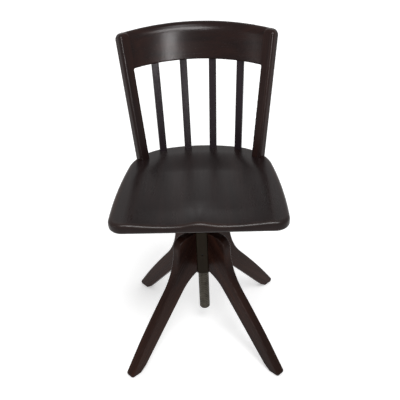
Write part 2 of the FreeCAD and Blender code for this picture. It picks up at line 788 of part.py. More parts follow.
def crest_band(name, inset, low, high):
    """A bent band between two arcs that follow the back posts' inner corners."""
    body = new_body(name)
    front_bow = s.crest_bow + inset
    back_bow = s.crest_bow + s.crest_thick - inset
    depth = root(s.crest_bow * s.crest_bow - crest_half_width * crest_half_width)
    centre_y = crest_middle - s.crest_bow + crest_lean * (low - crest_bottom)
    front_x = crest_half_width * front_bow / s.crest_bow
    front_y = centre_y + depth * front_bow / s.crest_bow
    back_x = crest_half_width * back_bow / s.crest_bow
    back_y = centre_y + depth * back_bow / s.crest_bow
    plan = new_sketch(body, "XY_Plane", name + "_plan", low)
    draw_outline(plan, [
        (-front_x, front_y, front_bow, -1),
        (front_x, front_y),
        (back_x, back_y, back_bow, +1),
        (-back_x, back_y),
    ])
    pad(body, plan, high - low, lean=(as_size(0), crest_lean))
    return body


def crest_board():
    """The crest rail's board: the band with its arched lower edge and its rolled crown."""
    body = crest_band("crest_board", as_size(0), crest_bottom, crest_top)
    reach = crest_half_width + s.crest_thick * 2
    arch_end = crest_bottom + s.crest_rise - sagitta(s.crest_arch, reach)
    under = arch_end - s.crest_thick
    arch = new_sketch(body, "XZ_Plane", "crest_underside")
    draw_outline(arch, [(-reach, under), (reach, under), (reach, arch_end, s.crest_arch, +1),
                        (-reach, arch_end)])
    pocket(body, arch)
    board = crown_cut(body, "crest_crown_cut")
    front_y = crest_middle + crest_lean * (crest_top - crest_bottom)

    def on_top(edge, y):
        middle = edge.valueAt((edge.FirstParameter + edge.LastParameter) / 2)
        return near(middle.z, crest_top, EDGE_SLACK) and near(middle.y, y, EDGE_SLACK)

    rolled = soften(body, board, s.crest_roll, lambda e: on_top(e, front_y))
    soften(body, rolled, s.crest_back_roll, lambda e: on_top(e, front_y + s.crest_thick))
    return body


def slat(name, hand, foot_x, foot_y, head_x, turn):
    """A flat slat from its mortise in the seat to its mortise in the crest rail."""
    body = new_body(name)
    head_y = crest_middle + s.crest_thick / 2 - sagitta(s.crest_bow, head_x)
    lean = ((head_x - foot_x) * hand / slat_rise, (head_y - foot_y) / slat_rise)
    level = seat_top - s.slat_tenon
    middle_x = foot_x * hand - lean[0] * s.slat_tenon
    middle_y = foot_y - lean[1] * s.slat_tenon
    wide = (cosine(turn) * s.slat_width / 2, sine(turn) * s.slat_width / 2 * -hand)
    deep = (sine(turn) * s.slat_thick / 2 * hand, cosine(turn) * s.slat_thick / 2)
    section = new_sketch(body, "XY_Plane", name + "_section", level)
    signs = ((-1, -1), (1, -1), (1, 1), (-1, 1))
    draw_outline(section, [
        (middle_x + wide[0] * a + deep[0] * b, middle_y + wide[1] * a + deep[1] * b)
        for a, b in signs
    ])
    stick = pad(body, section, slat_rise + s.crest_rise + s.slat_tenon * 2, lean=lean)

    def upright(edge):
        return edge.BoundBox.ZLength > slat_rise.value

    soften(body, stick, s.slat_ease, upright, "Chamfer")
    return body


def rounded_rim(base, radius):
    """Round the upper edge all round a saddled seat."""
    ids = []
    for number, edge in enumerate(base.Shape.Edges, start=1):
        if edge.BoundBox.ZMin > (seat_bottom + s.seat_round).value + EDGE_SLACK:
            ids.append((number, radius.value, radius.value))
    rim = doc.addObject("Part::Fillet", "seat_rim")
    rim.Base = base
    rim.Edges = ids
    doc.recompute()
    return rim


pieces = []


def keep(piece):
    """Put a piece on the list of those that are written out."""
    pieces.append(piece)
    return piece


def build_base():
    tongues = keep(leg_tongues())
    for name, turn in LEG_TURNS.items():
        keep(cut_from(name, leg_blank(name + "_board", turn), [tongues]))
    keep(hub_sleeve())
    keep(hub_plate())
    keep(cut_from("hub_post", hub_blank(), [tongues]))
    keep(key_pin())


def build_lift():
    keep(lift_screw())
    keep(height_nut())
    keep(tube("thrust_washer", shoulder, s.washer_thick, s.spigot_radius + s.running_fit,
              s.washer_radius))
    keep(retaining_ring())


def build_seat():
    keep(seat_spider())
    inner = (s.inner_foot_x, s.seat_back - s.inner_foot_in, s.inner_head_x, s.inner_angle)
    outer = (s.outer_foot_x, s.seat_back - s.outer_foot_in, s.outer_head_x, s.outer_angle)
    slats = []
    for number, (hand, row) in enumerate(((-1, outer), (-1, inner), (1, inner), (1, outer)), start=1):
        slats.append(keep(slat(f"slat_{number}", hand, *row)))
    tenons = crest_band("crest_tenons", s.tenon_inset, crest_bottom + s.tenon_shoulder,
                        crest_top - s.tenon_shoulder * 2)
    sticks = []
    stiles = []
    for name, hand in (("stile_left", -1), ("stile_right", 1)):
        sticks.append(stile_stick(name + "_stick", hand))
        stiles.append(keep(cut_from(name, stile_post(name + "_post", hand), [tenons])))
    shouldered = cut_from("crest_shouldered", crest_board(), sticks)
    tenoned = doc.addObject("Part::Fuse", "crest_tenoned")
    tenoned.Base = shouldered
    tenoned.Tool = tenons
    keep(cut_from("crest_rail", tenoned, slats))
    saddled = doc.addObject("Part::Cut", "seat_saddled")
    saddled.Base = seat_board()
    saddled.Tool = saddle_cutter()
    doc.recompute()
    keep(cut_from("seat", rounded_rim(saddled, s.rim_round), [*slats, *stiles]))


def check_document():
    """Stop if any object failed or any piece isn't a sound solid."""
    for item in doc.Objects:
        if "Invalid" in item.State or "Error" in item.State:
            raise RuntimeError(f"{item.Label} failed")
    for piece in pieces:
        shape = piece.Shape
        if shape.isNull() or not shape.isValid() or not shape.Solids:
            raise RuntimeError(f"{piece.Label} isn't a sound solid")


build_base()
build_lift()
build_seat()
doc.recompute()
check_document()
os.makedirs("parts", exist_ok=True)
for piece in pieces:
    piece.Shape.exportStep("parts/" + piece.Label + ".step")
    print(piece.Label, round(piece.Shape.Volume / 1000, 2), "cm3", len(piece.Shape.Solids))
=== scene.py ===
"""A wooden desk chair that swivels on a threaded post, dressed over its packed solids."""
import logging
import math
from dataclasses import dataclass, replace
from enum import Enum
from typing import Callable, Sequence

import bmesh
import bpy
import numpy as np
from mathutils import Matrix, Vector


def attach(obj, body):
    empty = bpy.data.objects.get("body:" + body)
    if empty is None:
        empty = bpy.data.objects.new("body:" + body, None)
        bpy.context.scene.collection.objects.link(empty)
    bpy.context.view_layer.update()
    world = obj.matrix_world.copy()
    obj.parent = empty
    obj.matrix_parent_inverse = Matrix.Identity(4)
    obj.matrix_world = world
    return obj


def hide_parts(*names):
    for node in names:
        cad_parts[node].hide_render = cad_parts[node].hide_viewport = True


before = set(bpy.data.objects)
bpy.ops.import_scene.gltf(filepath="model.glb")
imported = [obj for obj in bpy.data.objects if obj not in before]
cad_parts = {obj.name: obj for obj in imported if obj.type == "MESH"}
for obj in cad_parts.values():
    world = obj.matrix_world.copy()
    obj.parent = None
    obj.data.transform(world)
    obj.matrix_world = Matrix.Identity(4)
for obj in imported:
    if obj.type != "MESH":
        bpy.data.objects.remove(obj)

LOG = logging.getLogger("desk_chair")
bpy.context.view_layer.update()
AXIS_Y = -0.0222
SEAT_TOP = 0.480

Colour = tuple[float, float, float]
Point2 = tuple[float, float]
Point3 = tuple[float, float, float]


class Slot(Enum):
    """The record's material slots."""

    STAINED = "stained_wood"
    HUB = "hub_wood"
    PALE = "beech"
    IRON = "iron"
    STEEL = "worn_steel"


class Body(Enum):
    """The bodies that move against one another."""

    BASE = "base"
    NUT = "nut"
    LIFT = "lift"
    TOP = "top"


# Nodes of a material


class Shader:
    """A material's node tree while it is being built."""

    def __init__(self, name: str) -> None:
        """Start a material that has a Principled surface.

        Args:
            name: the material's name.
        """
        self.material = bpy.data.materials.new(name)
        self.material.use_nodes = True
        self.nodes = self.material.node_tree.nodes
        self.links = self.material.node_tree.links
        self.surface = self.nodes["Principled BSDF"]

    def add(self, kind: str, **settings: object) -> bpy.types.Node:
        """Add a node and set its properties.

        Args:
            kind: the node's type without its ShaderNode prefix.
            settings: names and values of the node's properties.
        Returns:
            The new node.
        """
        node = self.nodes.new("ShaderNode" + kind)
        for name, value in settings.items():
            setattr(node, name, value)
        return node

    def feed(self, socket: bpy.types.NodeSocket, value: object) -> None:
        """Give a socket a fixed value, or link it to another socket.

        Args:
            socket: the socket to feed.
            value: a number, a colour or another socket.
        """
        if isinstance(value, bpy.types.NodeSocket):
            self.links.new(value, socket)
        elif isinstance(value, tuple) and len(value) == 3 and socket.type == "RGBA":
            socket.default_value = (*value, 1.0)
        else:
            socket.default_value = value

    def mapped(self, source: object, scale: Sequence[float], turn: Sequence[float] = (0, 0, 0),
               shift: Sequence[float] = (0, 0, 0)) -> bpy.types.NodeSocket:
        """Scale, turn and shift a set of coordinates.

        Args:
            source: the coordinates.
            scale: the scale along each axis.
            turn: the turn about each axis, in radians.
            shift: the shift along each axis.
        Returns:
            The new coordinates.
        """
        node = self.add("Mapping")
        self.feed(node.inputs["Vector"], source)
        node.inputs["Scale"].default_value = scale
        node.inputs["Rotation"].default_value = turn
        node.inputs["Location"].default_value = shift
        return node.outputs["Vector"]

    def noise(self, where: object, scale: float, detail: float = 3.0, rough: float = 0.55,
              twist: float = 0.0) -> bpy.types.NodeSocket:
        """Noise between 0 and 1 at some coordinates.

        Args:
            where: the coordinates.
            scale: how many bumps there are to a unit.
            detail: how many finer layers are added.
            rough: how strong the finer layers are.
            twist: how far the noise bends itself.
        Returns:
            The noise.
        """
        node = self.add("TexNoise")
        self.feed(node.inputs["Vector"], where)
        node.inputs["Scale"].default_value = scale
        node.inputs["Detail"].default_value = detail
        node.inputs["Roughness"].default_value = rough
        node.inputs["Distortion"].default_value = twist
        return node.outputs["Fac"]

    def spread(self, value: object, low: float, high: float, start: float = 0.0,
               end: float = 1.0) -> bpy.types.NodeSocket:
        """Stretch a part of a value's range to another range.

        Args:
            value: the value.
            low: where the part begins.
            high: where the part ends.
            start: what low becomes.
            end: what high becomes.
        Returns:
            The stretched value.
        """
        node = self.add("MapRange")
        self.feed(node.inputs["Value"], value)
        names = ("From Min", "From Max", "To Min", "To Max")
        for name, number in zip(names, (low, high, start, end)):
            node.inputs[name].default_value = number
        return node.outputs["Result"]

    def maths(self, kind: str, first: object, second: object = 0.0) -> bpy.types.NodeSocket:
        """Join two values with one operation.

        Args:
            kind: the operation.
            first: the first value.
            second: the second value.
        Returns:
            The result.
        """
        node = self.add("Math", operation=kind)
        self.feed(node.inputs[0], first)
        self.feed(node.inputs[1], second)
        return node.outputs[0]

    def mixed(self, share: object, first: object, second: object,
              kind: str = "MIX") -> bpy.types.NodeSocket:
        """Blend two colours.

        Args:
            share: how much of the second colour there is.
            first: the first colour.
            second: the second colour.
            kind: the way they blend.
        Returns:
            The blend.
        """
        node = self.add("Mix", data_type="RGBA", blend_type=kind)
        self.feed(node.inputs["Factor"], share)
        self.feed(node.inputs[6], first)
        self.feed(node.inputs[7], second)
        return node.outputs[2]

    def bump(self, height: object, strength: float, distance: float) -> None:
        """Raise the surface by a height.

        Args:
            height: the height, from 0 to 1.
            strength: how strongly the light follows it.
            distance: what a height of 1 is, in metres.
        """
        node = self.add("Bump")
        node.inputs["Strength"].default_value = strength
        node.inputs["Distance"].default_value = distance
        self.feed(node.inputs["Height"], height)
        self.links.new(node.outputs["Normal"], self.surface.inputs["Normal"])


@dataclass(frozen=True)
class WoodFinish:
    """Stained wood under a satin varnish, its grain along one direction of the piece."""

    name: str
    slot: Slot
    deep: Colour
    light: Colour
    # colour of the rounded edges: wearing of the varnish, and where it is pale, a painted highlight
    # along the edges
    worn: Colour
    roughness: float = 0.21
    index: float = 1.21
    figure: float = 1.0
    fibre_scale: Point3 = (7, 260, 260)
    figure_scale: Point3 = (2.6, 30, 30)
    pore_scale: Point3 = (34, 1100, 1100)
    cloud_scale: float = 7.0
    scuff_scale: float = 95.0
    relief: float = 0.0003

    def made(self, piece: str, grain: Vector, seed: float) -> bpy.types.Material:
        """Build the finish for a piece.

        Args:
            piece: the piece's name.
            grain: the direction in which its grain runs.
            seed: a shift of the grain, so that no two boards are alike.
        Returns:
            The material.
        """
        sh = Shader(f"{self.name}_{piece}")
        where = sh.add("TexCoord").outputs["Object"]
        turn = grain.normalized().rotation_difference(Vector((1, 0, 0))).to_euler()
        along = sh.mapped(where, (1, 1, 1), turn, (seed, seed * 0.37, seed * 0.61))
        fibres = sh.noise(sh.mapped(along, self.fibre_scale), 1.0, 5.0, 0.62)
        figure = sh.noise(sh.mapped(along, self.figure_scale), 1.0, 3.0, 0.5, 0.8)
        pores = sh.noise(sh.mapped(along, self.pore_scale), 1.0, 2.0, 0.5)
        clouds = sh.noise(along, self.cloud_scale, 4.0, 0.6)
        scuffs = sh.noise(along, self.scuff_scale, 6.0, 0.72)
        wear = sh.add("Attribute", attribute_name="wear").outputs["Fac"]
        base = sh.mixed(sh.spread(figure, 0.32, 0.70, 0.0, self.figure), self.deep, self.light)
        base = sh.mixed(sh.spread(fibres, 0.36, 0.62, 0.42, 0.0), base, self.deep)
        # rounded edges take the edge colour: wearing of the varnish, and on the legs also a painted
        # highlight
        rubbed_and_sheen = sh.maths("MULTIPLY", wear, sh.spread(clouds, 0.40, 0.66, 0.15, 0.85))
        base = sh.mixed(rubbed_and_sheen, base, self.worn)
        dark_pores = sh.spread(pores, 0.30, 0.42, 0.55, 0.0)
        base = sh.mixed(dark_pores, base, tuple(c * 0.4 for c in self.deep))
        sh.feed(sh.surface.inputs["Base Color"], base)
        gloss = sh.spread(clouds, 0.3, 0.7, self.roughness - 0.03, self.roughness + 0.05)
        gloss = sh.maths("ADD", gloss, sh.spread(scuffs, 0.60, 0.74, 0.0, 0.12))
        gloss = sh.maths("ADD", gloss, sh.spread(fibres, 0.35, 0.65, 0.05, -0.02))
        sh.feed(sh.surface.inputs["Roughness"], gloss)
        sh.surface.inputs["IOR"].default_value = self.index
        relief = sh.maths("ADD", sh.maths("MULTIPLY", fibres, 0.55),
                          sh.spread(pores, 0.28, 0.44, 0.0, 0.45))
        sh.bump(relief, 0.18, self.relief)
        return sh.material


@dataclass(frozen=True)
class MetalFinish:
    """Old iron or steel with a dull skin."""

    name: str
    slot: Slot
    skin: Colour
    tarnish: Colour
    metallic: float
    roughness: float
    grain: float
    specular: float = 0.5
    cloud_scale: float = 22.0
    stain_scale: float = 60.0
    relief: float = 0.0003

    def made(self, piece: str) -> bpy.types.Material:
        """Build the finish for a piece.

        Args:
            piece: the piece's name.
        Returns:
            The material.
        """
        sh = Shader(f"{self.name}_{piece}")
        where = sh.add("TexCoord").outputs["Object"]
        clouds = sh.noise(where, self.cloud_scale, 5.0, 0.62)
        pits = sh.noise(where, self.grain, 4.0, 0.6)
        stains = sh.spread(sh.noise(where, self.stain_scale, 6.0, 0.7, 0.4), 0.46, 0.66)
        base = sh.mixed(sh.spread(clouds, 0.36, 0.66), self.skin, self.tarnish)
        stained = tuple(c * 0.45 for c in self.tarnish)
        base = sh.mixed(sh.maths("MULTIPLY", stains, 0.55), base, stained)
        sh.feed(sh.surface.inputs["Base Color"], base)
        gloss = sh.spread(clouds, 0.3, 0.7, self.roughness - 0.06, self.roughness + 0.08)
        sh.feed(sh.surface.inputs["Roughness"], gloss)
        sh.surface.inputs["Metallic"].default_value = self.metallic
        sh.surface.inputs["Specular IOR Level"].default_value = self.specular
        sh.bump(sh.maths("ADD", pits, sh.maths("MULTIPLY", stains, 0.35)), 0.30, self.relief)
        return sh.material


CHAIR_WOOD = WoodFinish("chair_wood", Slot.STAINED, (0.0105, 0.0042, 0.0038),
                        (0.028, 0.0105, 0.0078), (0.034, 0.0165, 0.0115))
HUB_WOOD = WoodFinish("hub_wood", Slot.HUB, (0.0150, 0.0112, 0.0070), (0.028, 0.0200, 0.0120),
                      (0.036, 0.025, 0.015), roughness=0.38, index=1.14)
# the legs' pale grey edge colour is a painted highlight along their rounded edges, as well as
# wearing
LEG_WOOD = replace(CHAIR_WOOD, name="leg_wood", deep=(0.0140, 0.0056, 0.0042),
                   light=(0.0360, 0.0140, 0.0092), worn=(0.0700, 0.0500, 0.0450),
                   index=1.15)
SEAT_WOOD = replace(CHAIR_WOOD, name="seat_wood", deep=(0.0085, 0.0050, 0.0050),
                    light=(0.0210, 0.0115, 0.0108), roughness=0.29, index=1.23, figure=0.6)
# the slats' bluish colour is a painted cool reflection laid into the stain
SLAT_WOOD_PAINTED_REFLECTION = replace(CHAIR_WOOD, name="slat_wood", deep=(0.0115, 0.0070, 0.0100),
                    light=(0.0250, 0.0150, 0.0200), index=1.235)
BARE_WOOD = WoodFinish("bare_wood", Slot.PALE, (0.30, 0.17, 0.085), (0.46, 0.30, 0.17),
                       (0.46, 0.30, 0.17), roughness=0.6, index=1.4)
BLACK_IRON = MetalFinish("black_iron", Slot.IRON, (0.018, 0.017, 0.016), (0.034, 0.030, 0.026),
                         0.0, 0.42, 420.0)
PIN_STEEL = MetalFinish("pin_steel", Slot.STEEL, (0.010, 0.009, 0.008), (0.016, 0.013, 0.010),
                        0.0, 0.6, 900.0, specular=0.2)
POST_STEEL = MetalFinish("post_steel", Slot.STEEL, (0.074, 0.066, 0.053), (0.050, 0.044, 0.035),
                         1.0, 0.42, 900.0)


# Meshes


def object_of(name: str, mesh: bpy.types.Mesh) -> bpy.types.Object:
    """Link a mesh to the scene as an object at the origin.

    Args:
        name: the object's name.
        mesh: its mesh.
    Returns:
        The object.
    """
    item = bpy.data.objects.new(name, mesh)
    bpy.context.scene.collection.objects.link(item)
    return item


def outwards(bm: bmesh.types.BMesh) -> None:
    """Make the faces of a closed mesh point out."""
    bmesh.ops.recalc_face_normals(bm, faces=bm.faces)


def settled(item: bpy.types.Object) -> bpy.types.Object:
    """Turn an object's modifiers into plain mesh.

    Args:
        item: the object.
    Returns:
        The same object, with no modifiers.
    """
    bpy.context.view_layer.update()
    seen = item.evaluated_get(bpy.context.evaluated_depsgraph_get())
    mesh = bpy.data.meshes.new_from_object(seen)
    item.modifiers.clear()
    item.data = mesh
    mesh.name = item.name
    return item


def smoothed(item: bpy.types.Object, sharp: float = 35.0,
             weighted: bool = True) -> bpy.types.Object:
    """Shade an object smooth between its sharp edges.

    Args:
        item: the object.
        sharp: angle in degrees above which an edge counts as sharp.
        weighted: let the larger faces rule the shading.
    Returns:
        The same object.
    """
    item.data.polygons.foreach_set("use_smooth", [True] * len(item.data.polygons))
    item.data.set_sharp_from_angle(angle=math.radians(sharp))
    if weighted:
        modifier = item.modifiers.new("face_weights", "WEIGHTED_NORMAL")
        modifier.keep_sharp = True
        settled(item)
    return item


def grid_solid(name: str, rows: Sequence[np.ndarray], wear: Sequence[float] | None = None,
               capped: bool = False) -> bpy.types.Object:
    """Join closed rings of points into one closed skin.

    Args:
        name: the object's name.
        rows: rings of equal length, each an array of points.
        wear: how worn each ring is, from 0 to 1.
        capped: close both ends with one flat face each, not with a middle point.
    Returns:
        The object.
    """
    count = len(rows[0])
    bm = bmesh.new()
    rings = [[bm.verts.new(p) for p in row] for row in rows]
    worn = list(wear) if wear is not None else [0.0] * len(rows)
    for low, high in zip(rings, rings[1:]):
        for j in range(count):
            k = (j + 1) % count
            bm.faces.new((low[j], low[k], high[k], high[j]))
    for ring, row in ((rings[0], rows[0]), (rings[-1], rows[-1])):
        if capped:
            bm.faces.new(ring)
            continue
        middle = bm.verts.new(np.mean(row, axis=0))
        for j in range(count):
            bm.faces.new((ring[j], ring[(j + 1) % count], middle))
    outwards(bm)
    mesh = bpy.data.meshes.new(name)
    bm.to_mesh(mesh)
    bm.free()
    values = np.repeat(np.array(worn, np.float32), count)
    values = np.concatenate([values, np.zeros(len(mesh.vertices) - len(values), np.float32)])
    mesh.attributes.new("wear", "FLOAT", "POINT").data.foreach_set("value", values)
    return object_of(name, mesh)


def rubbed_and_sheen(item: bpy.types.Object, low: float = 90.0, high: float = 320.0) -> bpy.types.Object:
    """Mark how far hands and years have rubbed a piece, by how tightly its surface bends outwards.

    Args:
        item: the piece, with a fine mesh.
        low: bend in 1/metres below which nothing is rubbed.
        high: bend at which the rubbing is full.
    Returns:
        The same piece, with a "wear" value at each point.
    """
    mesh = item.data
    count = len(mesh.vertices)
    places, normals = np.empty(count * 3), np.empty(count * 3)
    mesh.vertices.foreach_get("co", places)
    mesh.vertices.foreach_get("normal", normals)
    places, normals = places.reshape(-1, 3), normals.reshape(-1, 3)
    ends = np.empty(len(mesh.edges) * 2, np.int32)
    mesh.edges.foreach_get("vertices", ends)
    first, last = ends.reshape(-1, 2).T
    gap = places[last] - places[first]
    bend = np.sum((normals[last] - normals[first]) * gap, axis=1) / np.maximum(
        np.sum(gap * gap, axis=1), 1e-12)
    total = np.zeros(count)
    shares = np.zeros(count)
    for side in (first, last):
        np.add.at(total, side, bend)
        np.add.at(shares, side, 1.0)
    wear = np.clip((total / np.maximum(shares, 1) - low) / (high - low), 0, 1).astype(np.float32)
    layer = mesh.attributes.get("wear") or mesh.attributes.new("wear", "FLOAT", "POINT")
    layer.data.foreach_set("value", wear)
    return item


def refined(node: str, name: str, bevel: float = 0.0, sharp: float = 35.0) -> bpy.types.Object:
    """Copy a solid of the frame with joined corners, eased edges and smooth shading.

    Args:
        node: the solid's name.
        name: the new piece's name.
        bevel: width of the easing along its sharp edges, in metres.
        sharp: angle in degrees above which an edge counts as sharp.
    Returns:
        The new object, which stands for the solid.
    """
    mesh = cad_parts[node].data.copy()
    mesh.materials.clear()
    bm = bmesh.new()
    bm.from_mesh(mesh)
    bmesh.ops.remove_doubles(bm, verts=bm.verts, dist=2e-6)
    bmesh.ops.dissolve_limit(bm, angle_limit=math.radians(0.4), verts=bm.verts, edges=bm.edges)
    if bevel:
        keen = [e for e in bm.edges if len(e.link_faces) == 2
                and e.calc_face_angle(0.0) > math.radians(sharp)]
        bmesh.ops.bevel(bm, geom=keen, offset=bevel, segments=3, profile=0.5, affect="EDGES",
                        clamp_overlap=True)
    outwards(bm)
    bm.to_mesh(mesh)
    bm.free()
    item = object_of(name, mesh)
    smoothed(item, sharp)
    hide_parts(node)
    return item


def dressed(item: bpy.types.Object, body: Body,
            material: bpy.types.Material) -> bpy.types.Object:
    """Give a finished piece its material, its slot and the body it moves with.

    Args:
        item: the piece.
        body: the body that carries it.
        material: its finish.
    Returns:
        The same piece.
    """
    item.data.materials.clear()
    item.data.materials.append(material)
    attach(item, body.value)
    LOG.info("%s: %d faces, rides on %s", item.name, len(item.data.polygons), body.value)
    return item


def painted(node: str, material: bpy.types.Material) -> None:
    """Give a solid of the frame its material.

    Args:
        node: the solid's name.
        material: its finish.
    """
    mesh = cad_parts[node].data
    mesh.materials.clear()
    mesh.materials.append(material)
    LOG.info("%s: kept as a solid", node)


def arc(first: Point2, last: Point2, radius: float, side: int, step: float = 3.5) -> list[Point2]:
    """Points of an arc from first up to, but not including, last.

    Args:
        first: where it starts.
        last: where it ends.
        radius: its radius.
        side: +1 with its centre on the left of the way, -1 on the right.
        step: the turn between points, in degrees.
    Returns:
        The points.
    """
    a, b = Vector(first), Vector(last)
    chord = b - a
    left = Vector((-chord.y, chord.x)).normalized()
    centre = (a + b) / 2 + left * (math.sqrt(radius ** 2 - (chord.length / 2) ** 2) * side)
    sweep = 2 * math.asin(chord.length / 2 / radius) * side
    start = math.atan2(a.y - centre.y, a.x - centre.x)
    count = max(2, math.ceil(abs(math.degrees(sweep)) / step))
    return [(centre.x + radius * math.cos(start + sweep * i / count),
             centre.y + radius * math.sin(start + sweep * i / count)) for i in range(count)]


def straight(first: Point2, last: Point2, longest: float) -> list[Point2]:
    """Points along a line, up to, but not including, its last.

    Args:
        first: where it starts.
        last: where it ends.
        longest: the longest gap between points.
    Returns:
        The points.
    """
    count = max(1, math.ceil(math.dist(first, last) / longest))
    return [(first[0] + (last[0] - first[0]) * i / count,
             first[1] + (last[1] - first[1]) * i / count) for i in range(count)]


def inset(outline: np.ndarray, amount: float | np.ndarray) -> np.ndarray:
    """Move the points of a closed outline inwards.

    Args:
        outline: its points, anticlockwise.
        amount: how far all points go, or how far each goes.
    Returns:
        The moved points.
    """
    before = outline - np.roll(outline, 1, axis=0)
    after = np.roll(outline, -1, axis=0) - outline
    before /= np.linalg.norm(before, axis=1)[:, None]
    after /= np.linalg.norm(after, axis=1)[:, None]
    normal = np.stack([-(before + after)[:, 1], (before + after)[:, 0]], axis=1)
    normal /= np.linalg.norm(normal, axis=1)[:, None]
    cosine = np.abs(np.sum(normal * np.stack([-after[:, 1], after[:, 0]], axis=1), axis=1))
    return outline + normal * (amount / np.maximum(cosine, 0.6))[:, None]


def eased(share: float) -> float:
    """Height of a smooth step from 0 to 1, at a share of the way over it."""
    share = min(1.0, max(0.0, share))
    return share * share * (3 - 2 * share)


# The base


class Corner(Enum):
    """The four legs, each with its turn about the post in degrees."""

    REAR_RIGHT = 45
    REAR_LEFT = 135
    FRONT_LEFT = 225
    FRONT_RIGHT = 315

    @property
    def node(self) -> str:
        """Name of the leg's solid."""
        return "leg_" + self.name.lower()


@dataclass
class SawnLegs:
    """Four legs sawn from thick boards, each with a hollow neck and an arch under the hub."""

    hub_half: float = 0.0315
    top: float = 0.338
    reach: float = 0.289
    thick: float = 0.0245
    ease: float = 0.0032
    foot_ease: float = 0.0056
    foot: float = 0.039
    toe: float = 0.008
    heel_run: float = 0.019
    heel_rise: float = 0.015
    neck: float = 0.093
    hollow: float = 0.182
    shoulder: float = 0.027
    slope: float = math.radians(41.1)
    shin_bow: float = 2.5
    calf: Point2 = (0.084, 0.182)
    arch: float = 0.110
    arch_top: float = 0.214
    instep: float = 0.215
    instep_length: float = 0.060
    edge_steps: int = 7

    def profile(self) -> np.ndarray:
        """Draw the leg's outline, anticlockwise.

        Returns:
            Its points as distance from the post's axis and height.
        """
        neck_low = self.top - self.shoulder
        shin = (self.neck + self.hollow * (1 - math.cos(self.slope)),
                neck_low - self.hollow * math.sin(self.slope))
        heel = self.reach - self.foot
        run = Vector((shin[0] - self.reach, shin[1])).normalized()
        toe_cut = self.toe * math.tan((math.pi - math.acos(-run.x)) / 2)
        toe_up = (self.reach + run.x * toe_cut, run.y * toe_cut)
        arched = arc((self.hub_half, self.arch_top), self.calf, self.arch, -1)
        points = arched + straight(self.calf, (heel - self.heel_run, self.heel_rise), 0.03)
        points += straight((heel - self.heel_run, self.heel_rise), (heel, 0.0), 0.02)
        points += straight((heel, 0.0), (self.reach - toe_cut, 0.0), 0.02)
        points += arc((self.reach - toe_cut, 0.0), toe_up, self.toe, +1, 15.0)
        points += arc(toe_up, shin, self.shin_bow, +1, 0.6)
        points += arc(shin, (self.neck, neck_low), self.hollow, -1)
        rounded = (self.neck - self.shoulder, self.top)
        points += arc((self.neck, neck_low), rounded, self.shoulder, +1, 6.0)
        points += straight(rounded, (self.hub_half, self.top), 0.02)
        points += straight((self.hub_half, self.top), (self.hub_half, self.arch_top), 0.03)
        return np.array(points)

    def board(self, corner: Corner) -> bpy.types.Object:
        """Build one leg in its place.

        Args:
            corner: which leg.
        Returns:
            The leg.
        """
        outline = self.profile()
        half = self.thick / 2
        toeward = np.clip((outline[:, 0] - self.instep) / self.instep_length, 0, 1)
        ease = self.ease + (self.foot_ease - self.ease) * toeward * toeward * (3 - 2 * toeward)
        turn = math.radians(corner.value)
        out = Vector((math.cos(turn), math.sin(turn), 0))
        side = Vector((-out.y, out.x, 0))
        quarter = np.radians(np.linspace(0, 90, self.edge_steps))
        rows = []
        for face in (-1, 1):
            for a in quarter[::face]:
                ring = inset(outline, ease * (1 - math.cos(a)))
                offset = face * (half - ease * (1 - math.sin(a)))
                rows.append(np.stack([out.x * ring[:, 0] + side.x * offset,
                                      AXIS_Y + out.y * ring[:, 0] + side.y * offset,
                                      ring[:, 1]], axis=1))
        item = grid_solid(corner.node + "_board", rows, capped=True)
        # the edge mark lets the legs' pale edge colour paint a highlight along their rounded edges
        return rubbed_and_sheen(smoothed(item, 40.0), low=120.0, high=420.0)

    def dress(self) -> None:
        """Build and finish all four legs."""
        for number, corner in enumerate(Corner):
            item = self.board(corner)
            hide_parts(corner.node)
            turn = math.radians(corner.value)
            fall = math.tan(self.slope)
            grain = Vector((math.cos(turn) * fall, math.sin(turn) * fall, -1.0))
            dressed(item, Body.BASE,
                    LEG_WOOD.made(corner.node, grain, 1.7 * number + 0.4))


@dataclass
class Hub:
    """The eight-sided hub with what lines it and what is let into it."""

    screw_circle: float = 0.0255
    plate_top: float = 0.342

    def dress(self) -> None:
        """Finish the hub and its hidden pieces."""
        post = refined("hub_post", "hub_block", bevel=0.0008, sharp=30.0)
        dressed(post, Body.BASE, HUB_WOOD.made("hub", Vector((0, 0, 1)), 5.3))
        painted("leg_tongues", BARE_WOOD.made("tongues", Vector((0, 0, 1)), 2.2))
        for node in ("hub_sleeve", "hub_plate"):
            painted(node, BLACK_IRON.made(node))
        painted("key_pin", PIN_STEEL.made("key_pin"))
        heads = ScrewHeads("plate_screws", (self.screw_circle,), self.plate_top, 0.0, upright=True)
        dressed(heads.made(), Body.BASE, POST_STEEL.made("plate_screws"))


# Geometry Nodes


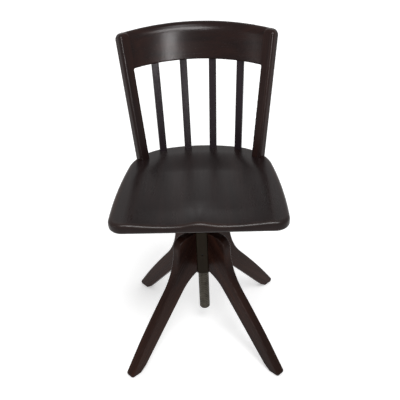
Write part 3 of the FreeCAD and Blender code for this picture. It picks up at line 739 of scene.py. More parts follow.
class Tree:
    """A Geometry Nodes tree with named inputs, while it is being built."""

    def __init__(self, name: str, inputs: dict[str, tuple[str, object]]) -> None:
        """Start a tree.

        Args:
            name: the tree's name.
            inputs: for each input's name, its socket type and value.
        """
        self.group = bpy.data.node_groups.new(name, "GeometryNodeTree")
        face = self.group.interface
        face.new_socket("Geometry", in_out="OUTPUT", socket_type="NodeSocketGeometry")
        self.values = {}
        for title, (kind, value) in inputs.items():
            socket = face.new_socket(title, in_out="INPUT", socket_type="NodeSocket" + kind)
            self.values[socket.identifier] = value
        self.entry = self.group.nodes.new("NodeGroupInput")
        self.exit = self.group.nodes.new("NodeGroupOutput")

    def add(self, kind: str, links: dict[object, object] | None = None,
            **settings: object) -> bpy.types.Node:
        """Add a node, set its properties and feed its sockets.

        Args:
            kind: the node's full type.
            links: for each socket's name or number, a value or another socket.
            settings: names and values of the node's properties.
        Returns:
            The new node.
        """
        node = self.group.nodes.new(kind)
        for title, value in settings.items():
            setattr(node, title, value)
        for key, value in (links or {}).items():
            if isinstance(value, bpy.types.NodeSocket):
                self.group.links.new(value, node.inputs[key])
            else:
                node.inputs[key].default_value = value
        return node

    def given(self, title: str) -> bpy.types.NodeSocket:
        """The socket of one of the tree's inputs."""
        return self.entry.outputs[title]

    def maths(self, kind: str, first: object, second: object = 0.0) -> bpy.types.NodeSocket:
        """Join two values with one operation."""
        return self.add("ShaderNodeMath", {0: first, 1: second}, operation=kind).outputs[0]

    def grown(self, name: str, geometry: bpy.types.NodeSocket) -> bpy.types.Object:
        """End the tree, run it and turn what it makes into a plain mesh.

        Args:
            name: the piece's name.
            geometry: the socket that holds the finished geometry.
        Returns:
            The piece.
        """
        real = self.add("GeometryNodeRealizeInstances", {0: geometry})
        stained = self.add("GeometryNodeSetMaterial", {0: real.outputs[0], "Material": DULL})
        self.group.links.new(stained.outputs[0], self.exit.inputs[0])
        item = object_of(name, bpy.data.meshes.new(name))
        modifier = item.modifiers.new("grow", "NODES")
        modifier.node_group = self.group
        for identifier, value in self.values.items():
            modifier[identifier] = value
        return settled(item)


DULL = bpy.data.materials.new("dull_blank")


@dataclass
class ScrewHeads:
    """Rings of four round slotted screw heads."""

    name: str
    circles: tuple[float, ...]
    height: float
    turn: float
    upright: bool
    radius: float = 0.0039
    rise: float = 0.0024
    slot_half: float = 0.0005
    count: int = 4
    slot_turn: float = 1.5
    seed: int = 4

    def head(self) -> bpy.types.Object:
        """Build the one head that is repeated, pointing up.

        Returns:
            The head: two half domes on either side of the slot, over a low disc.
        """
        bm = bmesh.new()
        for side in (1, -1):
            dome = bmesh.ops.create_uvsphere(bm, u_segments=24, v_segments=12, radius=self.radius)
            bmesh.ops.scale(bm, vec=(1, 1, self.rise / self.radius), verts=dome["verts"])
            slot_wall = ((0, self.slot_half * side, 0), (0, side, 0))
            for place, normal in (((0, 0, 0), (0, 0, 1)), slot_wall):
                mine = [v for v in dome["verts"] if v.is_valid]
                faces = {f for v in mine for f in v.link_faces}
                edges = {e for v in mine for e in v.link_edges}
                cut = bmesh.ops.bisect_plane(bm, geom=[*mine, *edges, *faces], plane_co=place,
                                             plane_no=normal, clear_inner=True)
                rim = [e for e in cut["geom_cut"] if isinstance(e, bmesh.types.BMEdge)]
                bmesh.ops.holes_fill(bm, edges=rim, sides=0)
                dome["verts"] = list({v for g in cut["geom"] for v in
                                      ([g] if isinstance(g, bmesh.types.BMVert) else [])}
                                     | {v for e in rim for v in e.verts})
        bmesh.ops.holes_fill(bm, edges=[e for e in bm.edges if e.is_boundary], sides=0)
        bmesh.ops.create_cone(bm, cap_ends=True, segments=24, radius1=self.radius,
                              radius2=self.radius, depth=self.rise * 0.5)
        outwards(bm)
        mesh = bpy.data.meshes.new(self.name + "_head")
        bm.to_mesh(mesh)
        bm.free()
        return object_of(self.name + "_head", mesh)

    def made(self) -> bpy.types.Object:
        """Repeat the head round the post's axis.

        Returns:
            All the heads as one piece.
        """
        head = self.head()
        flip = 0.0 if self.upright else math.pi
        tree = Tree(self.name + "_rings", {
            "Head": ("Object", head), "Count": ("Int", self.count),
            "Height": ("Float", self.height), "Turn": ("Float", self.turn),
            "Flip": ("Float", flip), "Seed": ("Int", self.seed),
        })
        source = tree.add("GeometryNodeObjectInfo", {"Object": tree.given("Head")})
        rings = tree.add("GeometryNodeJoinGeometry")
        for radius in self.circles:
            ring = tree.add("GeometryNodeMeshCircle",
                            {"Vertices": tree.given("Count"), "Radius": radius})
            tree.group.links.new(ring.outputs[0], rings.inputs[0])
        slots = tree.add("FunctionNodeRandomValue", {
            2: -self.slot_turn, 3: self.slot_turn, "Seed": tree.given("Seed")}, data_type="FLOAT")
        tilt = tree.add("ShaderNodeCombineXYZ", {"X": tree.given("Flip"), "Z": slots.outputs[1]})
        heads = tree.add("GeometryNodeInstanceOnPoints", {
            "Points": rings.outputs[0], "Instance": source.outputs["Geometry"],
            "Rotation": tilt.outputs[0],
        })
        lift = tree.add("ShaderNodeCombineXYZ", {"Y": AXIS_Y, "Z": tree.given("Height")})
        turn = tree.add("ShaderNodeCombineXYZ", {"Z": tree.given("Turn")})
        placed = tree.add("GeometryNodeTransform", {
            "Geometry": heads.outputs[0], "Translation": lift.outputs[0],
            "Rotation": turn.outputs[0],
        })
        item = smoothed(tree.grown(self.name, placed.outputs[0]), 30.0)
        bpy.data.objects.remove(head)
        return item


# The lifting gear


@dataclass
class LiftingGear:
    """The threaded post, its washer and ring, and the wheel nut that carries it."""

    radius: float = 0.0143
    depth: float = 0.0011
    pitch: float = 0.00635
    bottom: float = 0.069
    tip: float = 0.0045
    plain_end: float = 0.008
    shoulder: float = 0.4112
    spigot: float = 0.0095
    keyway_half: float = 0.0034
    keyway_depth: float = 0.004
    keyway: Point2 = (0.1956, 0.3104)
    root_gap: float = 0.0001
    chamfer: float = 0.001
    edge: float = 0.0005
    tip_flat: float = 0.004
    run_in: float = 0.0003
    collar: float = 0.010
    run_out: float = 0.004
    spigot_height: float = 0.036
    crest_half: float = 0.25
    root_half: float = 0.72
    steps_in_turn: int = 40
    steps_across: int = 8

    def ring_of(self, radius: float, height: float, count: int = 72) -> np.ndarray:
        """A ring of points about the post's axis.

        Args:
            radius: the ring's radius.
            height: its height.
            count: how many points it has.
        Returns:
            The points.
        """
        turns = np.arange(count) * (2 * math.pi / count)
        return np.stack([radius * np.cos(turns), AXIS_Y + radius * np.sin(turns),
                         np.full(count, height)], axis=1)

    def rod(self) -> bpy.types.Object:
        """Build the plain rod at the thread's root, with its rounded tip and its spigot.

        Returns:
            The rod.
        """
        root = self.radius - self.depth - self.root_gap
        top = self.shoulder
        thread_low = self.bottom + self.plain_end
        spigot_top = top + self.spigot_height
        places = [(self.tip_flat, self.bottom)]
        places += [(self.radius - self.tip * (1 - math.sin(a)),
                    self.bottom + self.tip * (1 - math.cos(a)))
                   for a in np.radians(np.linspace(8, 90, 9))]
        places += [(self.radius, thread_low - self.chamfer),
                   (self.radius - self.run_in, thread_low), (root, thread_low + self.chamfer),
                   (root, top - self.collar - self.chamfer), (self.radius, top - self.collar),
                   (self.radius, top - self.edge), (self.radius - self.edge, top),
                   (self.spigot, top),
                   (self.spigot, spigot_top - self.chamfer),
                   (self.spigot - self.chamfer, spigot_top)]
        return grid_solid("post_rod", [self.ring_of(r, z) for r, z in places])

    def thread(self) -> bpy.types.Object:
        """Wind the thread round the rod with Geometry Nodes, from its plain end to its shoulder.

        Returns:
            The thread.
        """
        start = self.bottom + self.plain_end - self.pitch - self.edge
        turns = math.floor((self.shoulder - self.run_out - self.pitch - start) / self.pitch)
        tree = Tree("post_thread", {
            "Radius": ("Float", self.radius), "Depth": ("Float", self.depth),
            "Pitch": ("Float", self.pitch), "Start": ("Float", start), "Turns": ("Int", turns),
            "Columns": ("Int", turns * self.steps_in_turn + 1),
            "Rows": ("Int", self.steps_across + 1),
        })
        sheet = tree.add("GeometryNodeMeshGrid", {
            "Size X": 1.0, "Size Y": 1.0, "Vertices X": tree.given("Columns"),
            "Vertices Y": tree.given("Rows"),
        })
        position = tree.add("GeometryNodeInputPosition")
        place = tree.add("ShaderNodeSeparateXYZ", {0: position.outputs[0]})
        along = tree.maths("MULTIPLY", tree.maths("ADD", place.outputs[0], 0.5),
                           tree.given("Turns"))
        across = tree.maths("ADD", place.outputs[1], 0.5)
        from_crest = tree.maths("ABSOLUTE", tree.maths("MULTIPLY", place.outputs[1], 2.0))
        sunk = tree.add("ShaderNodeMapRange", {
            "Value": from_crest, "From Min": self.crest_half, "From Max": self.root_half,
        }, interpolation_type="SMOOTHSTEP")
        deep = tree.maths("MULTIPLY", sunk.outputs[0], tree.given("Depth"))
        radius = tree.maths("SUBTRACT", tree.given("Radius"), deep)
        angle = tree.maths("MULTIPLY", along, 2 * math.pi)
        climbed = tree.maths("MULTIPLY", tree.maths("ADD", along, across), tree.given("Pitch"))
        height = tree.maths("ADD", tree.given("Start"), climbed)
        backwards = tree.maths("MULTIPLY", radius, tree.maths("SINE", angle))
        point = tree.add("ShaderNodeCombineXYZ", {
            "X": tree.maths("MULTIPLY", radius, tree.maths("COSINE", angle)),
            "Y": tree.maths("ADD", backwards, AXIS_Y), "Z": height,
        })
        wound = tree.add("GeometryNodeSetPosition", {"Geometry": sheet.outputs["Mesh"],
                                                     "Position": point.outputs[0]})
        joined = tree.add("GeometryNodeMergeByDistance", {"Geometry": wound.outputs[0],
                                                          "Distance": 1e-5})
        item = tree.grown("post_thread", joined.outputs[0])
        bm = bmesh.new()
        bm.from_mesh(item.data)
        bmesh.ops.holes_fill(bm, edges=[e for e in bm.edges if e.is_boundary], sides=0)
        bmesh.ops.triangulate(bm, faces=[f for f in bm.faces if len(f.verts) > 4])
        outwards(bm)
        bm.to_mesh(item.data)
        bm.free()
        return item

    def keyed(self, item: bpy.types.Object) -> bpy.types.Object:
        """Cut the keyway for the hub's pin into a piece of the post.

        Args:
            item: the piece.
        Returns:
            The same piece.
        """
        bm = bmesh.new()
        bmesh.ops.create_cube(bm, size=1.0)
        low, high = self.keyway
        size = (self.keyway_half * 2, self.keyway_depth * 2, high - low)
        place = (0, AXIS_Y - self.radius, (low + high) / 2)
        bmesh.ops.transform(bm, verts=bm.verts,
                            matrix=Matrix.LocRotScale(Vector(place), None, Vector(size)))
        mesh = bpy.data.meshes.new("keyway_tool")
        bm.to_mesh(mesh)
        bm.free()
        tool = object_of("keyway_tool", mesh)
        modifier = item.modifiers.new("keyway", "BOOLEAN")
        modifier.operation = "DIFFERENCE"
        modifier.solver = "EXACT"
        modifier.object = tool
        settled(item)
        bpy.data.objects.remove(tool)
        return item

    def dress(self) -> None:
        """Build and finish the post, the nut and the small rings."""
        steel = POST_STEEL.made("post")
        rod = smoothed(self.keyed(self.rod()), 35.0)
        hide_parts("lift_screw")
        dressed(rod, Body.LIFT, steel)
        thread = smoothed(self.keyed(self.thread()), 50.0, weighted=False)
        dressed(thread, Body.LIFT, steel)
        for node in ("thrust_washer", "retaining_ring"):
            painted(node, POST_STEEL.made(node))
        nut = refined("height_nut", "wheel_nut", bevel=0.0009, sharp=35.0)
        dressed(nut, Body.NUT, BLACK_IRON.made("wheel_nut"))


# The seat


@dataclass
class SaddledSeat:
    """The thick wooden seat, hollowed to a saddle with a low ridge at its front."""

    bottom: float = 0.454
    half_width: float = 0.2053
    front: float = 0.206
    back: float = 0.197
    front_corner: float = 0.034
    side_bow: float = 1.5
    side_end: Point2 = (0.1875, 0.075)
    back_corner: float = 0.1276
    back_bow: float = 0.338
    back_end: float = 0.105
    under_round: float = 0.009
    rim_round: float = 0.0085
    saddle_depth: float = 0.011
    saddle_half: float = 0.172
    narrowing: float = 0.034
    saddle_back: float = 0.152
    slope: float = 0.090
    pommel: float = 0.034
    pommel_start: float = 0.080
    pommel_length: float = 0.122
    narrow_start: float = 0.040
    narrow_length: float = 0.150
    lip: float = 0.3
    lip_start: float = 0.120
    lip_length: float = 0.085
    middle: Point2 = (0.0, -0.01)
    rows: int = 64
    gathering: float = 1.25
    under_wear: float = 0.35
    rim_wear: Point2 = (0.25, 0.6)
    top_wear: Point2 = (0.8, 0.16)
    screw_circles: Point2 = (0.070, 0.124)
    flange: float = 0.006

    def outline(self) -> np.ndarray:
        """Draw the seat's edge in plan, anticlockwise.

        Returns:
            Its points about the post's axis.
        """
        cx = self.half_width - self.front_corner
        cy = -(self.front - self.front_corner)
        back_y = self.back - (self.back_bow - math.sqrt(self.back_bow ** 2 - self.back_end ** 2))
        ex, ey = self.side_end
        points = straight((-cx, -self.front), (cx, -self.front), 0.008)
        points += arc((cx, -self.front), (self.half_width, cy), self.front_corner, +1, 5.0)
        points += arc((self.half_width, cy), (ex, ey), self.side_bow, +1, 0.35)
        points += arc((ex, ey), (self.back_end, back_y), self.back_corner, +1, 4.0)
        points += arc((self.back_end, back_y), (-self.back_end, back_y), self.back_bow, +1, 1.6)
        points += arc((-self.back_end, back_y), (-ex, ey), self.back_corner, +1, 4.0)
        points += arc((-ex, ey), (-self.half_width, cy), self.side_bow, +1, 0.35)
        points += arc((-self.half_width, cy), (-cx, -self.front), self.front_corner, +1, 5.0)
        return np.array(points)

    def level(self, x: float, y: float) -> float:
        """Height of the saddled top.

        Args:
            x: place to the right of the post's axis.
            y: place behind the post's axis.
        Returns:
            The height there.
        """
        narrowed = self.narrowing * eased((y + self.narrow_start) / self.narrow_length) ** 2
        aside = min(1.0, abs(x) / (self.saddle_half - narrowed))
        bowl = (1 - aside ** 4) ** 2
        rear = self.saddle_back - x * x / (2 * self.back_bow)
        climb = 1 - eased(1 - min(1.0, max(0.0, (rear - y) / self.slope)))
        forward = eased((-y - self.pommel_start) / self.pommel_length)
        ridge = math.exp(-(x / self.pommel) ** 2) * forward
        lip = 1 - self.lip * eased((-y - self.lip_start) / self.lip_length)
        return SEAT_TOP - self.saddle_depth * bowl * climb * lip * (1 - ridge)

    def board(self) -> bpy.types.Object:
        """Build the seat from rings that follow its edge.

        Returns:
            The seat.
        """
        edge = self.outline()
        middle = np.array(self.middle)

        def ring(cut: float, share: float, height: Callable[[float, float], float]) -> np.ndarray:
            """Draw one ring.

            Args:
                cut: how far the edge is moved inwards.
                share: its size after that, about the middle.
                height: gives the height at a place.
            Returns:
                The ring's points.
            """
            line = inset(edge, cut) if cut else edge
            line = middle + (line - middle) * share
            return np.array([(x, y + AXIS_Y, height(x, y)) for x, y in line])

        rows, worn = [], []
        for share in np.linspace(0.1, 0.98, 8):
            rows.append(ring(self.under_round, share, lambda x, y: self.bottom))
            worn.append(0.0)
        for angle in np.radians(np.linspace(0, 90, 8)):
            cut = self.under_round * (1 - math.sin(angle))
            rise = self.under_round * (1 - math.cos(angle))
            rows.append(ring(cut, 1.0, lambda x, y, up=rise: self.bottom + up))
            worn.append(self.under_wear)
        for angle in np.radians(np.linspace(0, 90, 9)):
            cut = self.rim_round * (1 - math.cos(angle))
            drop = self.rim_round * (1 - math.sin(angle))
            rows.append(ring(cut, 1.0, lambda x, y, down=drop: self.level(x, y) - down))
            worn.append(self.rim_wear[0] + self.rim_wear[1] * math.sin(angle))
        for step in range(1, self.rows):
            share = 1 - (step / self.rows) ** self.gathering
            rows.append(ring(self.rim_round, share, self.level))
            worn.append(max(0.0, self.top_wear[0] - step * self.top_wear[1]))
        return smoothed(grid_solid("seat_board", rows, worn), 60.0, weighted=False)

    def dress(self) -> None:
        """Build and finish the seat and the spider under it."""
        seat = self.board()
        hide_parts("seat")
        dressed(seat, Body.TOP, SEAT_WOOD.made("seat", Vector((0, 1, 0)), 9.1))
        spider = refined("seat_spider", "cast_spider", bevel=0.0012, sharp=35.0)
        dressed(spider, Body.TOP, BLACK_IRON.made("spider"))
        heads = ScrewHeads("spider_screws", self.screw_circles, self.bottom - self.flange,
                           math.radians(45), upright=False)
        dressed(heads.made(), Body.TOP, POST_STEEL.made("spider_screws"))


# The back


@dataclass(frozen=True)
class SlatPlace:
    """Where one of the right-hand slats stands, about the post's axis, and its turn in degrees."""

    title: str
    foot: Point2
    head_x: float
    turn: float


SLAT_PLACES = (SlatPlace("Inner", (0.034, 0.173), 0.038, 4.0),
               SlatPlace("Outer", (0.1016, 0.165), 0.110, 16.0))


@dataclass
class SlattedBack:
    """Two square posts that run into a bent crest rail, with four slats between rail and seat."""

    rake: float = math.tan(math.radians(9.9))
    splay: float = math.tan(math.radians(5.9))
    post_x: float = 0.1555
    post_y: float = 0.1015
    post_side: float = 0.027
    post_turn: float = math.radians(40)
    post_foot: float = 0.4715
    edge_rounds: tuple[float, ...] = (0.0070, 0.0050, 0.0045, 0.0012)
    post_roll: float = 0.009
    corner_round: float = 0.017
    crest_low: float = 0.712
    crest_top: float = 0.806
    crown: float = 2.5
    arch: float = 3.0
    arch_rise: float = 0.005
    bow: float = 0.285
    thick: float = 0.022
    front_roll: float = 0.013
    front_fall: float = 0.022
    back_roll: float = 0.007
    under_ease: float = 0.0015
    lap: float = 0.013
    stub: float = 0.0011
    face_points: Point2 = (0.018, 0.0125)
    rear_points: Point2 = (0.022, 0.016)
    columns: int = 140
    grain_size: float = 0.0016
    sanding: int = 9
    slat_width: float = 0.019
    slat_thick: float = 0.010
    slat_ease: float = 0.0016
    slat_foot: float = 0.011
    slat_tenon: float = 0.014

    def post_edge(self, height: float) -> np.ndarray:
        """Where a post's front edge is at a height, about the chair's axis."""
        up = height - SEAT_TOP
        return np.array((self.post_x + self.splay * up, self.post_y + self.rake * up))

    def section_corners(self) -> np.ndarray:
        """Find the corners of a post's square section.

        Returns:
            The front, outer, back and inner corner, from the front one.
        """
        sine, cosine = math.sin(self.post_turn), math.cos(self.post_turn)
        outer = np.array((sine, cosine)) * self.post_side
        inner = np.array((-cosine, sine)) * self.post_side
        return np.array(((0.0, 0.0), outer, outer + inner, inner))

    def section(self) -> np.ndarray:
        """Draw a post's section with its four edges rounded.

        Returns:
            Its points from the front edge.
        """
        corners = self.section_corners()
        points = []
        for number, radius in enumerate(self.edge_rounds):
            here = corners[number]
            before = (corners[number - 1] - here) / self.post_side
            after = (corners[(number + 1) % 4] - here) / self.post_side
            centre = here + (before + after) * radius
            for a in np.radians(np.linspace(0, 90, 7)):
                points.append(centre - after * radius * math.cos(a) - before * radius * math.sin(a))
        return np.array(points)

    def crown_level(self, x: float) -> float:
        """Height of the top of the back.

        Args:
            x: distance from the back's middle.
        Returns:
            The height there.
        """
        side = self.post_edge(self.crest_top)[0] + self.section_corners()[1][0]
        past = max(0.0, abs(x) - (side - self.corner_round))
        past = min(past, self.corner_round)
        drop = self.corner_round - math.sqrt(self.corner_round ** 2 - past ** 2)
        return self.crest_top - (self.crown - math.sqrt(self.crown ** 2 - x * x)) - drop

    def post_rows(self) -> list[np.ndarray]:
        """Draw a right-hand post from inside the seat to the middle of its rolled top.

        Returns:
            Its rings of points.
        """
        section = self.section()
        middle = section.mean(axis=0)

        def ring(outline: np.ndarray, sunk: float) -> np.ndarray:
            """Set an outline at the crown's level.

            Args:
                outline: its points from the post's front edge.
                sunk: how far it lies below the crown.
            Returns:
                The ring's points.
            """
            points = []
            for offset in outline:
                height = self.crest_top - sunk
                for _ in range(4):
                    x, y = self.post_edge(height) + offset
                    height = self.crown_level(x) - sunk
                points.append((x, y + AXIS_Y, height))
            return np.array(points)

        foot = self.post_edge(self.post_foot) + section
        rows = [np.array([(x, y + AXIS_Y, self.post_foot) for x, y in foot])]
        for a in np.radians(np.linspace(0, 90, 9)):
            cut = self.post_roll * (1 - math.cos(a))
            shrunk = middle + (section - middle) * (1 - cut / (self.post_side / 2))
            rows.append(ring(shrunk, self.post_roll * (1 - math.sin(a))))
        inner = middle + (section - middle) * (1 - self.post_roll / (self.post_side / 2))
        rows += [ring(middle + (inner - middle) * share, 0.0) for share in (0.7, 0.35)]
        return rows

    def inner_corner(self, height: float) -> Point2:
        """Where a post's inner corner is at a height, about the chair's axis."""
        x, y = self.post_edge(height) + self.section_corners()[3]
        return x, y

    def lean(self) -> float:
        """How far the crest rail goes back for each step up."""
        x = self.inner_corner(self.crest_low)[0]
        return self.rake + self.splay * x / math.sqrt(self.bow ** 2 - x * x)

    def centre_y(self, height: float) -> float:
        """Centre of the crest rail's bow at a height."""
        x, y = self.inner_corner(self.crest_low)
        return y - math.sqrt(self.bow ** 2 - x * x) + self.lean() * (height - self.crest_low)

    def end_turn(self, depth: float, height: float) -> float:
        """Find where the crest rail ends inside a post.

        Args:
            depth: distance behind the rail's front face.
            height: the height.
        Returns:
            The turn about the bow's centre.
        """
        radius = self.bow + depth
        x, y = self.inner_corner(height)
        y -= self.centre_y(height)
        ux, uy = math.sin(self.post_turn), math.cos(self.post_turn)
        b = x * ux + y * uy
        t = -b + math.sqrt(max(0.0, b * b - (x * x + y * y - radius * radius)))
        return math.atan2(x + t * ux, y + t * uy) + self.lap / radius

    def rail_section(self) -> list[tuple[float, float, bool]]:
        """Draw the crest rail's section.

        Returns:
            For each point its depth, its height from an edge, and whether that edge is the top.
        """
        ease, front, rear = self.under_ease, self.front_roll, self.back_roll
        quarter = np.radians(np.linspace(0, 90, 9))
        points = [(ease * (1 - math.sin(a)), ease * (1 - math.cos(a)), False) for a in quarter[::2]]
        points += [(0.0, self.face_points[0] + self.face_points[1] * n, False) for n in range(4)]
        points += [(front * (1 - math.cos(a)), -self.front_fall * (1 - math.sin(a)), True)
                   for a in quarter]
        points += [(self.thick - rear * (1 - math.sin(a)), -rear * (1 - math.cos(a)), True)
                   for a in quarter]
        points += [(self.thick, -self.rear_points[0] - self.rear_points[1] * n, True)
                   for n in range(4)]
        points += [(self.thick - ease * (1 - math.cos(a)), ease * (1 - math.sin(a)), False)
                   for a in quarter[::2]]
        return points

    def rail_rows(self) -> list[np.ndarray]:
        """Draw the crest rail from inside one post to inside the other.

        Returns:
            Its rings of points.
        """
        rows = []
        for share in np.linspace(-1, 1, self.columns):
            ring = []
            for depth, rise, from_top in self.rail_section():
                turn = share * 0.6
                for _ in range(3):
                    x = (self.bow + depth) * math.sin(turn)
                    low = self.crest_low + self.arch_rise
                    low -= self.arch - math.sqrt(self.arch ** 2 - x * x)
                    height = (self.crown_level(x) if from_top else low) + rise
                    turn = share * self.end_turn(depth, height)
                radius = self.bow + depth
                ring.append((radius * math.sin(turn),
                             AXIS_Y + self.centre_y(height) + radius * math.cos(turn), height))
            rows.append(np.array(ring))
        return rows

    def carved(self) -> bpy.types.Mesh:
        """Fair both posts and the crest rail into one shape, as they are when carved together.

        Returns:
            The shape, with its wear.
        """
        right = self.post_rows()
        left = [row * (-1, 1, 1) for row in right]
        blanks = [grid_solid("blank", rows, capped=capped)
                  for rows, capped in ((right, False), (left, False), (self.rail_rows(), True))]
        bm = bmesh.new()
        for blank in blanks:
            bm.from_mesh(blank.data)
            bpy.data.objects.remove(blank)
        mesh = bpy.data.meshes.new("back_frame")
        bm.to_mesh(mesh)
        bm.free()
        item = object_of("back_frame", mesh)
        cover = item.modifiers.new("cover", "REMESH")
        cover.mode = "VOXEL"
        cover.voxel_size = self.grain_size
        sanded = item.modifiers.new("sanded", "SMOOTH")
        sanded.factor = 0.5
        sanded.iterations = self.sanding
        rubbed_and_sheen(settled(item))
        whole = item.data.copy()
        bpy.data.objects.remove(item)
        return whole

    def sawn(self, whole: bpy.types.Mesh, name: str, sides: Sequence[tuple[int, bool]]
             ) -> bpy.types.Object:
        """Saw one piece out of the faired shape along the joints between rail and posts.

        Args:
            whole: the faired shape.
            name: the piece's name.
            sides: for each joint, its hand and whether the rail's side of it is kept.
        Returns:
            The piece, closed where it was sawn.
        """
        bm = bmesh.new()
        bm.from_mesh(whole)
        for hand, rail_side in sides:
            x, y = self.inner_corner(self.crest_low)
            across = Vector((math.sin(self.post_turn) * hand, math.cos(self.post_turn), 0))
            upward = Vector((self.splay * hand, self.rake, 1.0))
            normal = across.cross(upward).normalized()
            if normal.x * hand < 0:
                normal.negate()
            place = Vector((x * hand, y + AXIS_Y, self.crest_low)) - normal * self.stub
            cut = bmesh.ops.bisect_plane(bm, geom=[*bm.verts, *bm.edges, *bm.faces], plane_co=place,
                                         plane_no=normal, clear_outer=rail_side,
                                         clear_inner=not rail_side, dist=1e-6)
            rim = [v for v in cut["geom_cut"] if isinstance(v, bmesh.types.BMVert)]
            bmesh.ops.remove_doubles(bm, verts=rim, dist=self.grain_size * 0.3)
            bmesh.ops.holes_fill(bm, edges=[e for e in bm.edges if e.is_boundary], sides=0)
        outwards(bm)
        mesh = bpy.data.meshes.new(name)
        bm.to_mesh(mesh)
        bm.free()
        return smoothed(object_of(name, mesh), 50.0, weighted=False)

    def slats(self) -> bpy.types.Object:
        """Set the four slats between the seat and the crest rail with Geometry Nodes.

        Returns:
            The slats as one piece.
        """
        x, y = self.inner_corner(self.crest_low)
        middle = y - math.sqrt(self.bow ** 2 - x * x) + self.bow + self.thick / 2
        inputs = {"Width": ("Float", self.slat_width), "Thick": ("Float", self.slat_thick),
                  "Ease": ("Float", self.slat_ease)}
        for slat in SLAT_PLACES:
            head_y = middle - (self.bow - math.sqrt(self.bow ** 2 - slat.head_x ** 2))
            foot = Vector((slat.foot[0], slat.foot[1] + AXIS_Y, SEAT_TOP))
            head = Vector((slat.head_x, head_y + AXIS_Y, self.crest_low))
            step = (head - foot) / (self.crest_low - SEAT_TOP)
            side = math.radians(slat.turn)
            facing = Vector((-math.sin(side), -math.cos(side), 0))
            inputs[slat.title + " Foot"] = ("Vector", foot - step * self.slat_foot)
            inputs[slat.title + " Head"] = ("Vector", head + step * self.slat_tenon)
            inputs[slat.title + " Face"] = ("Vector", facing)
        tree = Tree("slat_row", inputs)
        section = tree.add("GeometryNodeCurvePrimitiveQuadrilateral",
                           {"Width": tree.given("Thick"), "Height": tree.given("Width")})
        eased_edges = tree.add("GeometryNodeFilletCurve", {
            "Curve": section.outputs[0], "Radius": tree.given("Ease"), "Count": 3}, mode="POLY")
        row = tree.add("GeometryNodeJoinGeometry")
        for slat in SLAT_PLACES:
            for hand in (-1, 1):
                ends = [tree.add("ShaderNodeVectorMath", {0: tree.given(f"{slat.title} {end}"),
                                                          1: (hand, 1, 1)}, operation="MULTIPLY")
                        for end in ("Foot", "Head", "Face")]
                line = tree.add("GeometryNodeCurvePrimitiveLine",
                                {"Start": ends[0].outputs[0], "End": ends[1].outputs[0]})
                facing = tree.add("GeometryNodeSetCurveNormal", {"Curve": line.outputs[0],
                                                                 "Normal": ends[2].outputs[0]},
                                  mode="FREE")
                bar = tree.add("GeometryNodeCurveToMesh", {
                    "Curve": facing.outputs[0], "Profile Curve": eased_edges.outputs[0],
                    "Fill Caps": True})
                tree.group.links.new(bar.outputs[0], row.inputs[0])
        joined = tree.add("GeometryNodeMergeByDistance", {"Geometry": row.outputs[0],
                                                          "Distance": 1e-6})
        item = tree.grown("slat_row", joined.outputs[0])
        bm = bmesh.new()
        bm.from_mesh(item.data)
        outwards(bm)
        bm.to_mesh(item.data)
        bm.free()
        return smoothed(item, 40.0)

    def dress(self) -> None:
        """Build and finish the crest rail, the posts and the slats."""
        whole = self.carved()
        crest = self.sawn(whole, "crest_board", ((-1, True), (1, True)))
        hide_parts("crest_rail")
        dressed(crest, Body.TOP, CHAIR_WOOD.made("crest", Vector((1, 0, 0)), 13.7))
        for number, (node, hand) in enumerate((("stile_left", -1), ("stile_right", 1))):
            post = self.sawn(whole, node + "_post", ((hand, False),))
            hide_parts(node)
            grain = Vector((self.splay * hand, self.rake, 1.0))
            dressed(post, Body.TOP,
                    CHAIR_WOOD.made(node, grain, 17.9 + 2.3 * number))
        bpy.data.meshes.remove(whole)
        slats = self.slats()
        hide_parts("slat_1", "slat_2", "slat_3", "slat_4")
        # the slats' finish carries a painted cool reflection in its bluish colour
        dressed(slats, Body.TOP,
                SLAT_WOOD_PAINTED_REFLECTION.made("slats", Vector((0, self.rake, 1.0)), 22.5))


# The room


BACK = ("crest_board", "stile_left_post", "stile_right_post", "slat_row")
LEGS = tuple(corner.node + "_board" for corner in Corner)


@dataclass(frozen=True)
class SoftLamp:
    """A soft rectangular lamp; where it has mirrors, only the varnish of those pieces shows it."""

    name: str
    place: Point3
    target: Point3
    size: Point2
    watts: float
    mirrors: tuple[str, ...] = ()

    def hang(self) -> None:
        """Hang the lamp facing its target."""
        data = bpy.data.lights.new(self.name, "AREA")
        data.shape = "RECTANGLE"
        data.size, data.size_y = self.size
        data.energy = self.watts
        item = bpy.data.objects.new(self.name, data)
        bpy.context.scene.collection.objects.link(item)
        item.location = self.place
        forward = Vector(self.target) - Vector(self.place)
        item.rotation_euler = forward.to_track_quat("-Z", "Y").to_euler()
        if self.mirrors:
            item.visible_diffuse = False
            pieces = bpy.data.collections.new(self.name + "_mirrors")
            for piece in self.mirrors:
                pieces.objects.link(bpy.data.objects[piece])
            item.light_linking.receiver_collection = pieces


WINDOW = SoftLamp("window", (0.83, -1.87, 1.19), (-0.04, 0.15, 0.75), (0.28, 0.90), 38.0,
                  (*BACK, *LEGS))
LOW = SoftLamp("low", (0.34, -2.30, 0.65), (0.1, -0.17, 0.15), (0.3, 0.3), 3.0, (*BACK, *LEGS))
OVERHEAD = SoftLamp("overhead", (0.30, -1.35, 2.0), (0, -0.1, 0.6), (1.3, 0.6), 70.0, BACK)
RIM = SoftLamp("rim", (0.10, -0.75, 2.3), (0, -0.2, 0.48), (1.0, 0.5), 55.0, ("seat_board",))
FILL = SoftLamp("fill", (-1.7, -1.1, 1.0), (0, 0, 0.5), (0.3, 1.0), 4.0)


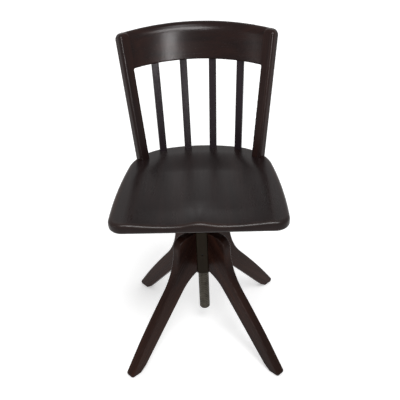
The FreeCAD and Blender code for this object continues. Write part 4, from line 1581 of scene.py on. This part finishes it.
@dataclass
class Studio:
    """A pale floor, soft lamps and the camera."""

    eye: Point3 = (0.0488, -1.3192, 1.2133)
    yaw: float = 0.037
    pitch: float = 0.542
    roll: float = 0.042
    aim: float = -0.001
    lens: float = 54.6
    sensor: float = 36.0
    dome: float = 0.60
    sky_strength: float = 1.1
    sky_turn: float = math.radians(17)
    sky_height: float = math.radians(60)
    sky_width: float = math.radians(20)
    floor_half: float = 12.0
    floor_white: Colour = (0.95, 0.95, 0.95)
    floor_glow: float = 0.38

    def camera(self) -> None:
        """Place the camera at the photograph's viewing angle."""
        forward = Vector((math.sin(self.aim) * math.cos(self.pitch),
                          math.cos(self.aim) * math.cos(self.pitch), -math.sin(self.pitch)))
        right = Vector((math.cos(self.aim), -math.sin(self.aim), 0))
        down = forward.cross(right)
        across = right * math.cos(self.roll) + down * math.sin(self.roll)
        below = down * math.cos(self.roll) - right * math.sin(self.roll)
        turn = Matrix.Rotation(self.yaw, 3, "Z")
        across, below, forward = (turn @ v for v in (across, below, forward))
        axes = Matrix((across, -below, -forward)).transposed().to_4x4()
        data = bpy.data.cameras.new("camera")
        data.lens = self.lens
        data.sensor_width = self.sensor
        item = bpy.data.objects.new("camera", data)
        bpy.context.scene.collection.objects.link(item)
        place = Vector((self.eye[0], self.eye[1] + AXIS_Y, self.eye[2]))
        item.matrix_world = Matrix.Translation(place) @ axes
        bpy.context.scene.camera = item

    def skylight(self) -> None:
        """Let even soft light fall from high in front."""
        data = bpy.data.lights.new("skylight", "SUN")
        data.energy = self.sky_strength
        data.angle = self.sky_width
        item = bpy.data.objects.new("skylight", data)
        bpy.context.scene.collection.objects.link(item)
        level = math.cos(self.sky_height)
        source = Vector((math.sin(self.sky_turn) * level, -math.cos(self.sky_turn) * level,
                         math.sin(self.sky_height)))
        item.rotation_euler = (-source).to_track_quat("-Z", "Y").to_euler()
        item.location = source * 3

    def white_for_eye(self, sh: Shader) -> bpy.types.NodeSocket:
        """Tell the rays by which the room is seen from those that light the chair.

        Args:
            sh: the material's nodes.
        Returns:
            1 where a ray comes from the camera, a mirror or glass, otherwise 0.
        """
        path = sh.add("LightPath")
        seen = sh.maths("MAXIMUM", path.outputs["Is Camera Ray"], path.outputs["Is Glossy Ray"])
        return sh.maths("MAXIMUM", seen, path.outputs["Is Transmission Ray"])

    def world(self) -> None:
        """Surround the chair with a plain white that lights it softly."""
        world = bpy.data.worlds.new("white_room")
        world.use_nodes = True
        bpy.context.scene.world = world
        nodes, links = world.node_tree.nodes, world.node_tree.links
        back = nodes["Background"]
        back.inputs["Color"].default_value = (1, 1, 1, 1)
        path = nodes.new("ShaderNodeLightPath")
        eye = nodes.new("ShaderNodeMath")
        eye.operation = "MAXIMUM"
        links.new(path.outputs["Is Camera Ray"], eye.inputs[0])
        links.new(path.outputs["Is Transmission Ray"], eye.inputs[1])
        seen = nodes.new("ShaderNodeMath")
        seen.operation = "MAXIMUM"
        links.new(eye.outputs[0], seen.inputs[0])
        links.new(path.outputs["Is Glossy Ray"], seen.inputs[1])
        level = nodes.new("ShaderNodeMapRange")
        level.inputs["To Min"].default_value = self.dome
        level.inputs["To Max"].default_value = 1.0
        links.new(seen.outputs[0], level.inputs["Value"])
        links.new(level.outputs["Result"], back.inputs["Strength"])

    def floor(self) -> None:
        """Lay the pale floor."""
        bm = bmesh.new()
        bmesh.ops.create_grid(bm, x_segments=1, y_segments=1, size=self.floor_half)
        mesh = bpy.data.meshes.new("floor")
        bm.to_mesh(mesh)
        bm.free()
        item = object_of("floor", mesh)
        sh = Shader("floor_white")
        sh.feed(sh.surface.inputs["Base Color"], self.floor_white)
        sh.surface.inputs["Roughness"].default_value = 0.9
        sh.surface.inputs["Specular IOR Level"].default_value = 0.0
        sh.surface.inputs["Emission Color"].default_value = (1, 1, 1, 1)
        glow = sh.spread(self.white_for_eye(sh), 0.0, 1.0, 0.0, self.floor_glow)
        sh.feed(sh.surface.inputs["Emission Strength"], glow)
        mesh.materials.append(sh.material)

    def build(self) -> None:
        """Set up the camera, the lamps and the floor."""
        self.camera()
        self.world()
        self.floor()
        for lamp in (WINDOW, LOW, OVERHEAD, RIM):
            lamp.hang()
        self.skylight()
        FILL.hang()
        bpy.context.scene.view_settings.view_transform = "Standard"


def main() -> None:
    """Build the chair, sub-assembly by sub-assembly, and write down its size."""
    logging.basicConfig(level=logging.INFO, format="%(message)s")
    for part in (SawnLegs(), Hub(), LiftingGear(), SaddledSeat(), SlattedBack()):
        LOG.info("%s", type(part).__doc__.splitlines()[0])
        part.dress()
    Studio().build()


if __name__ == "__main__":
    main()
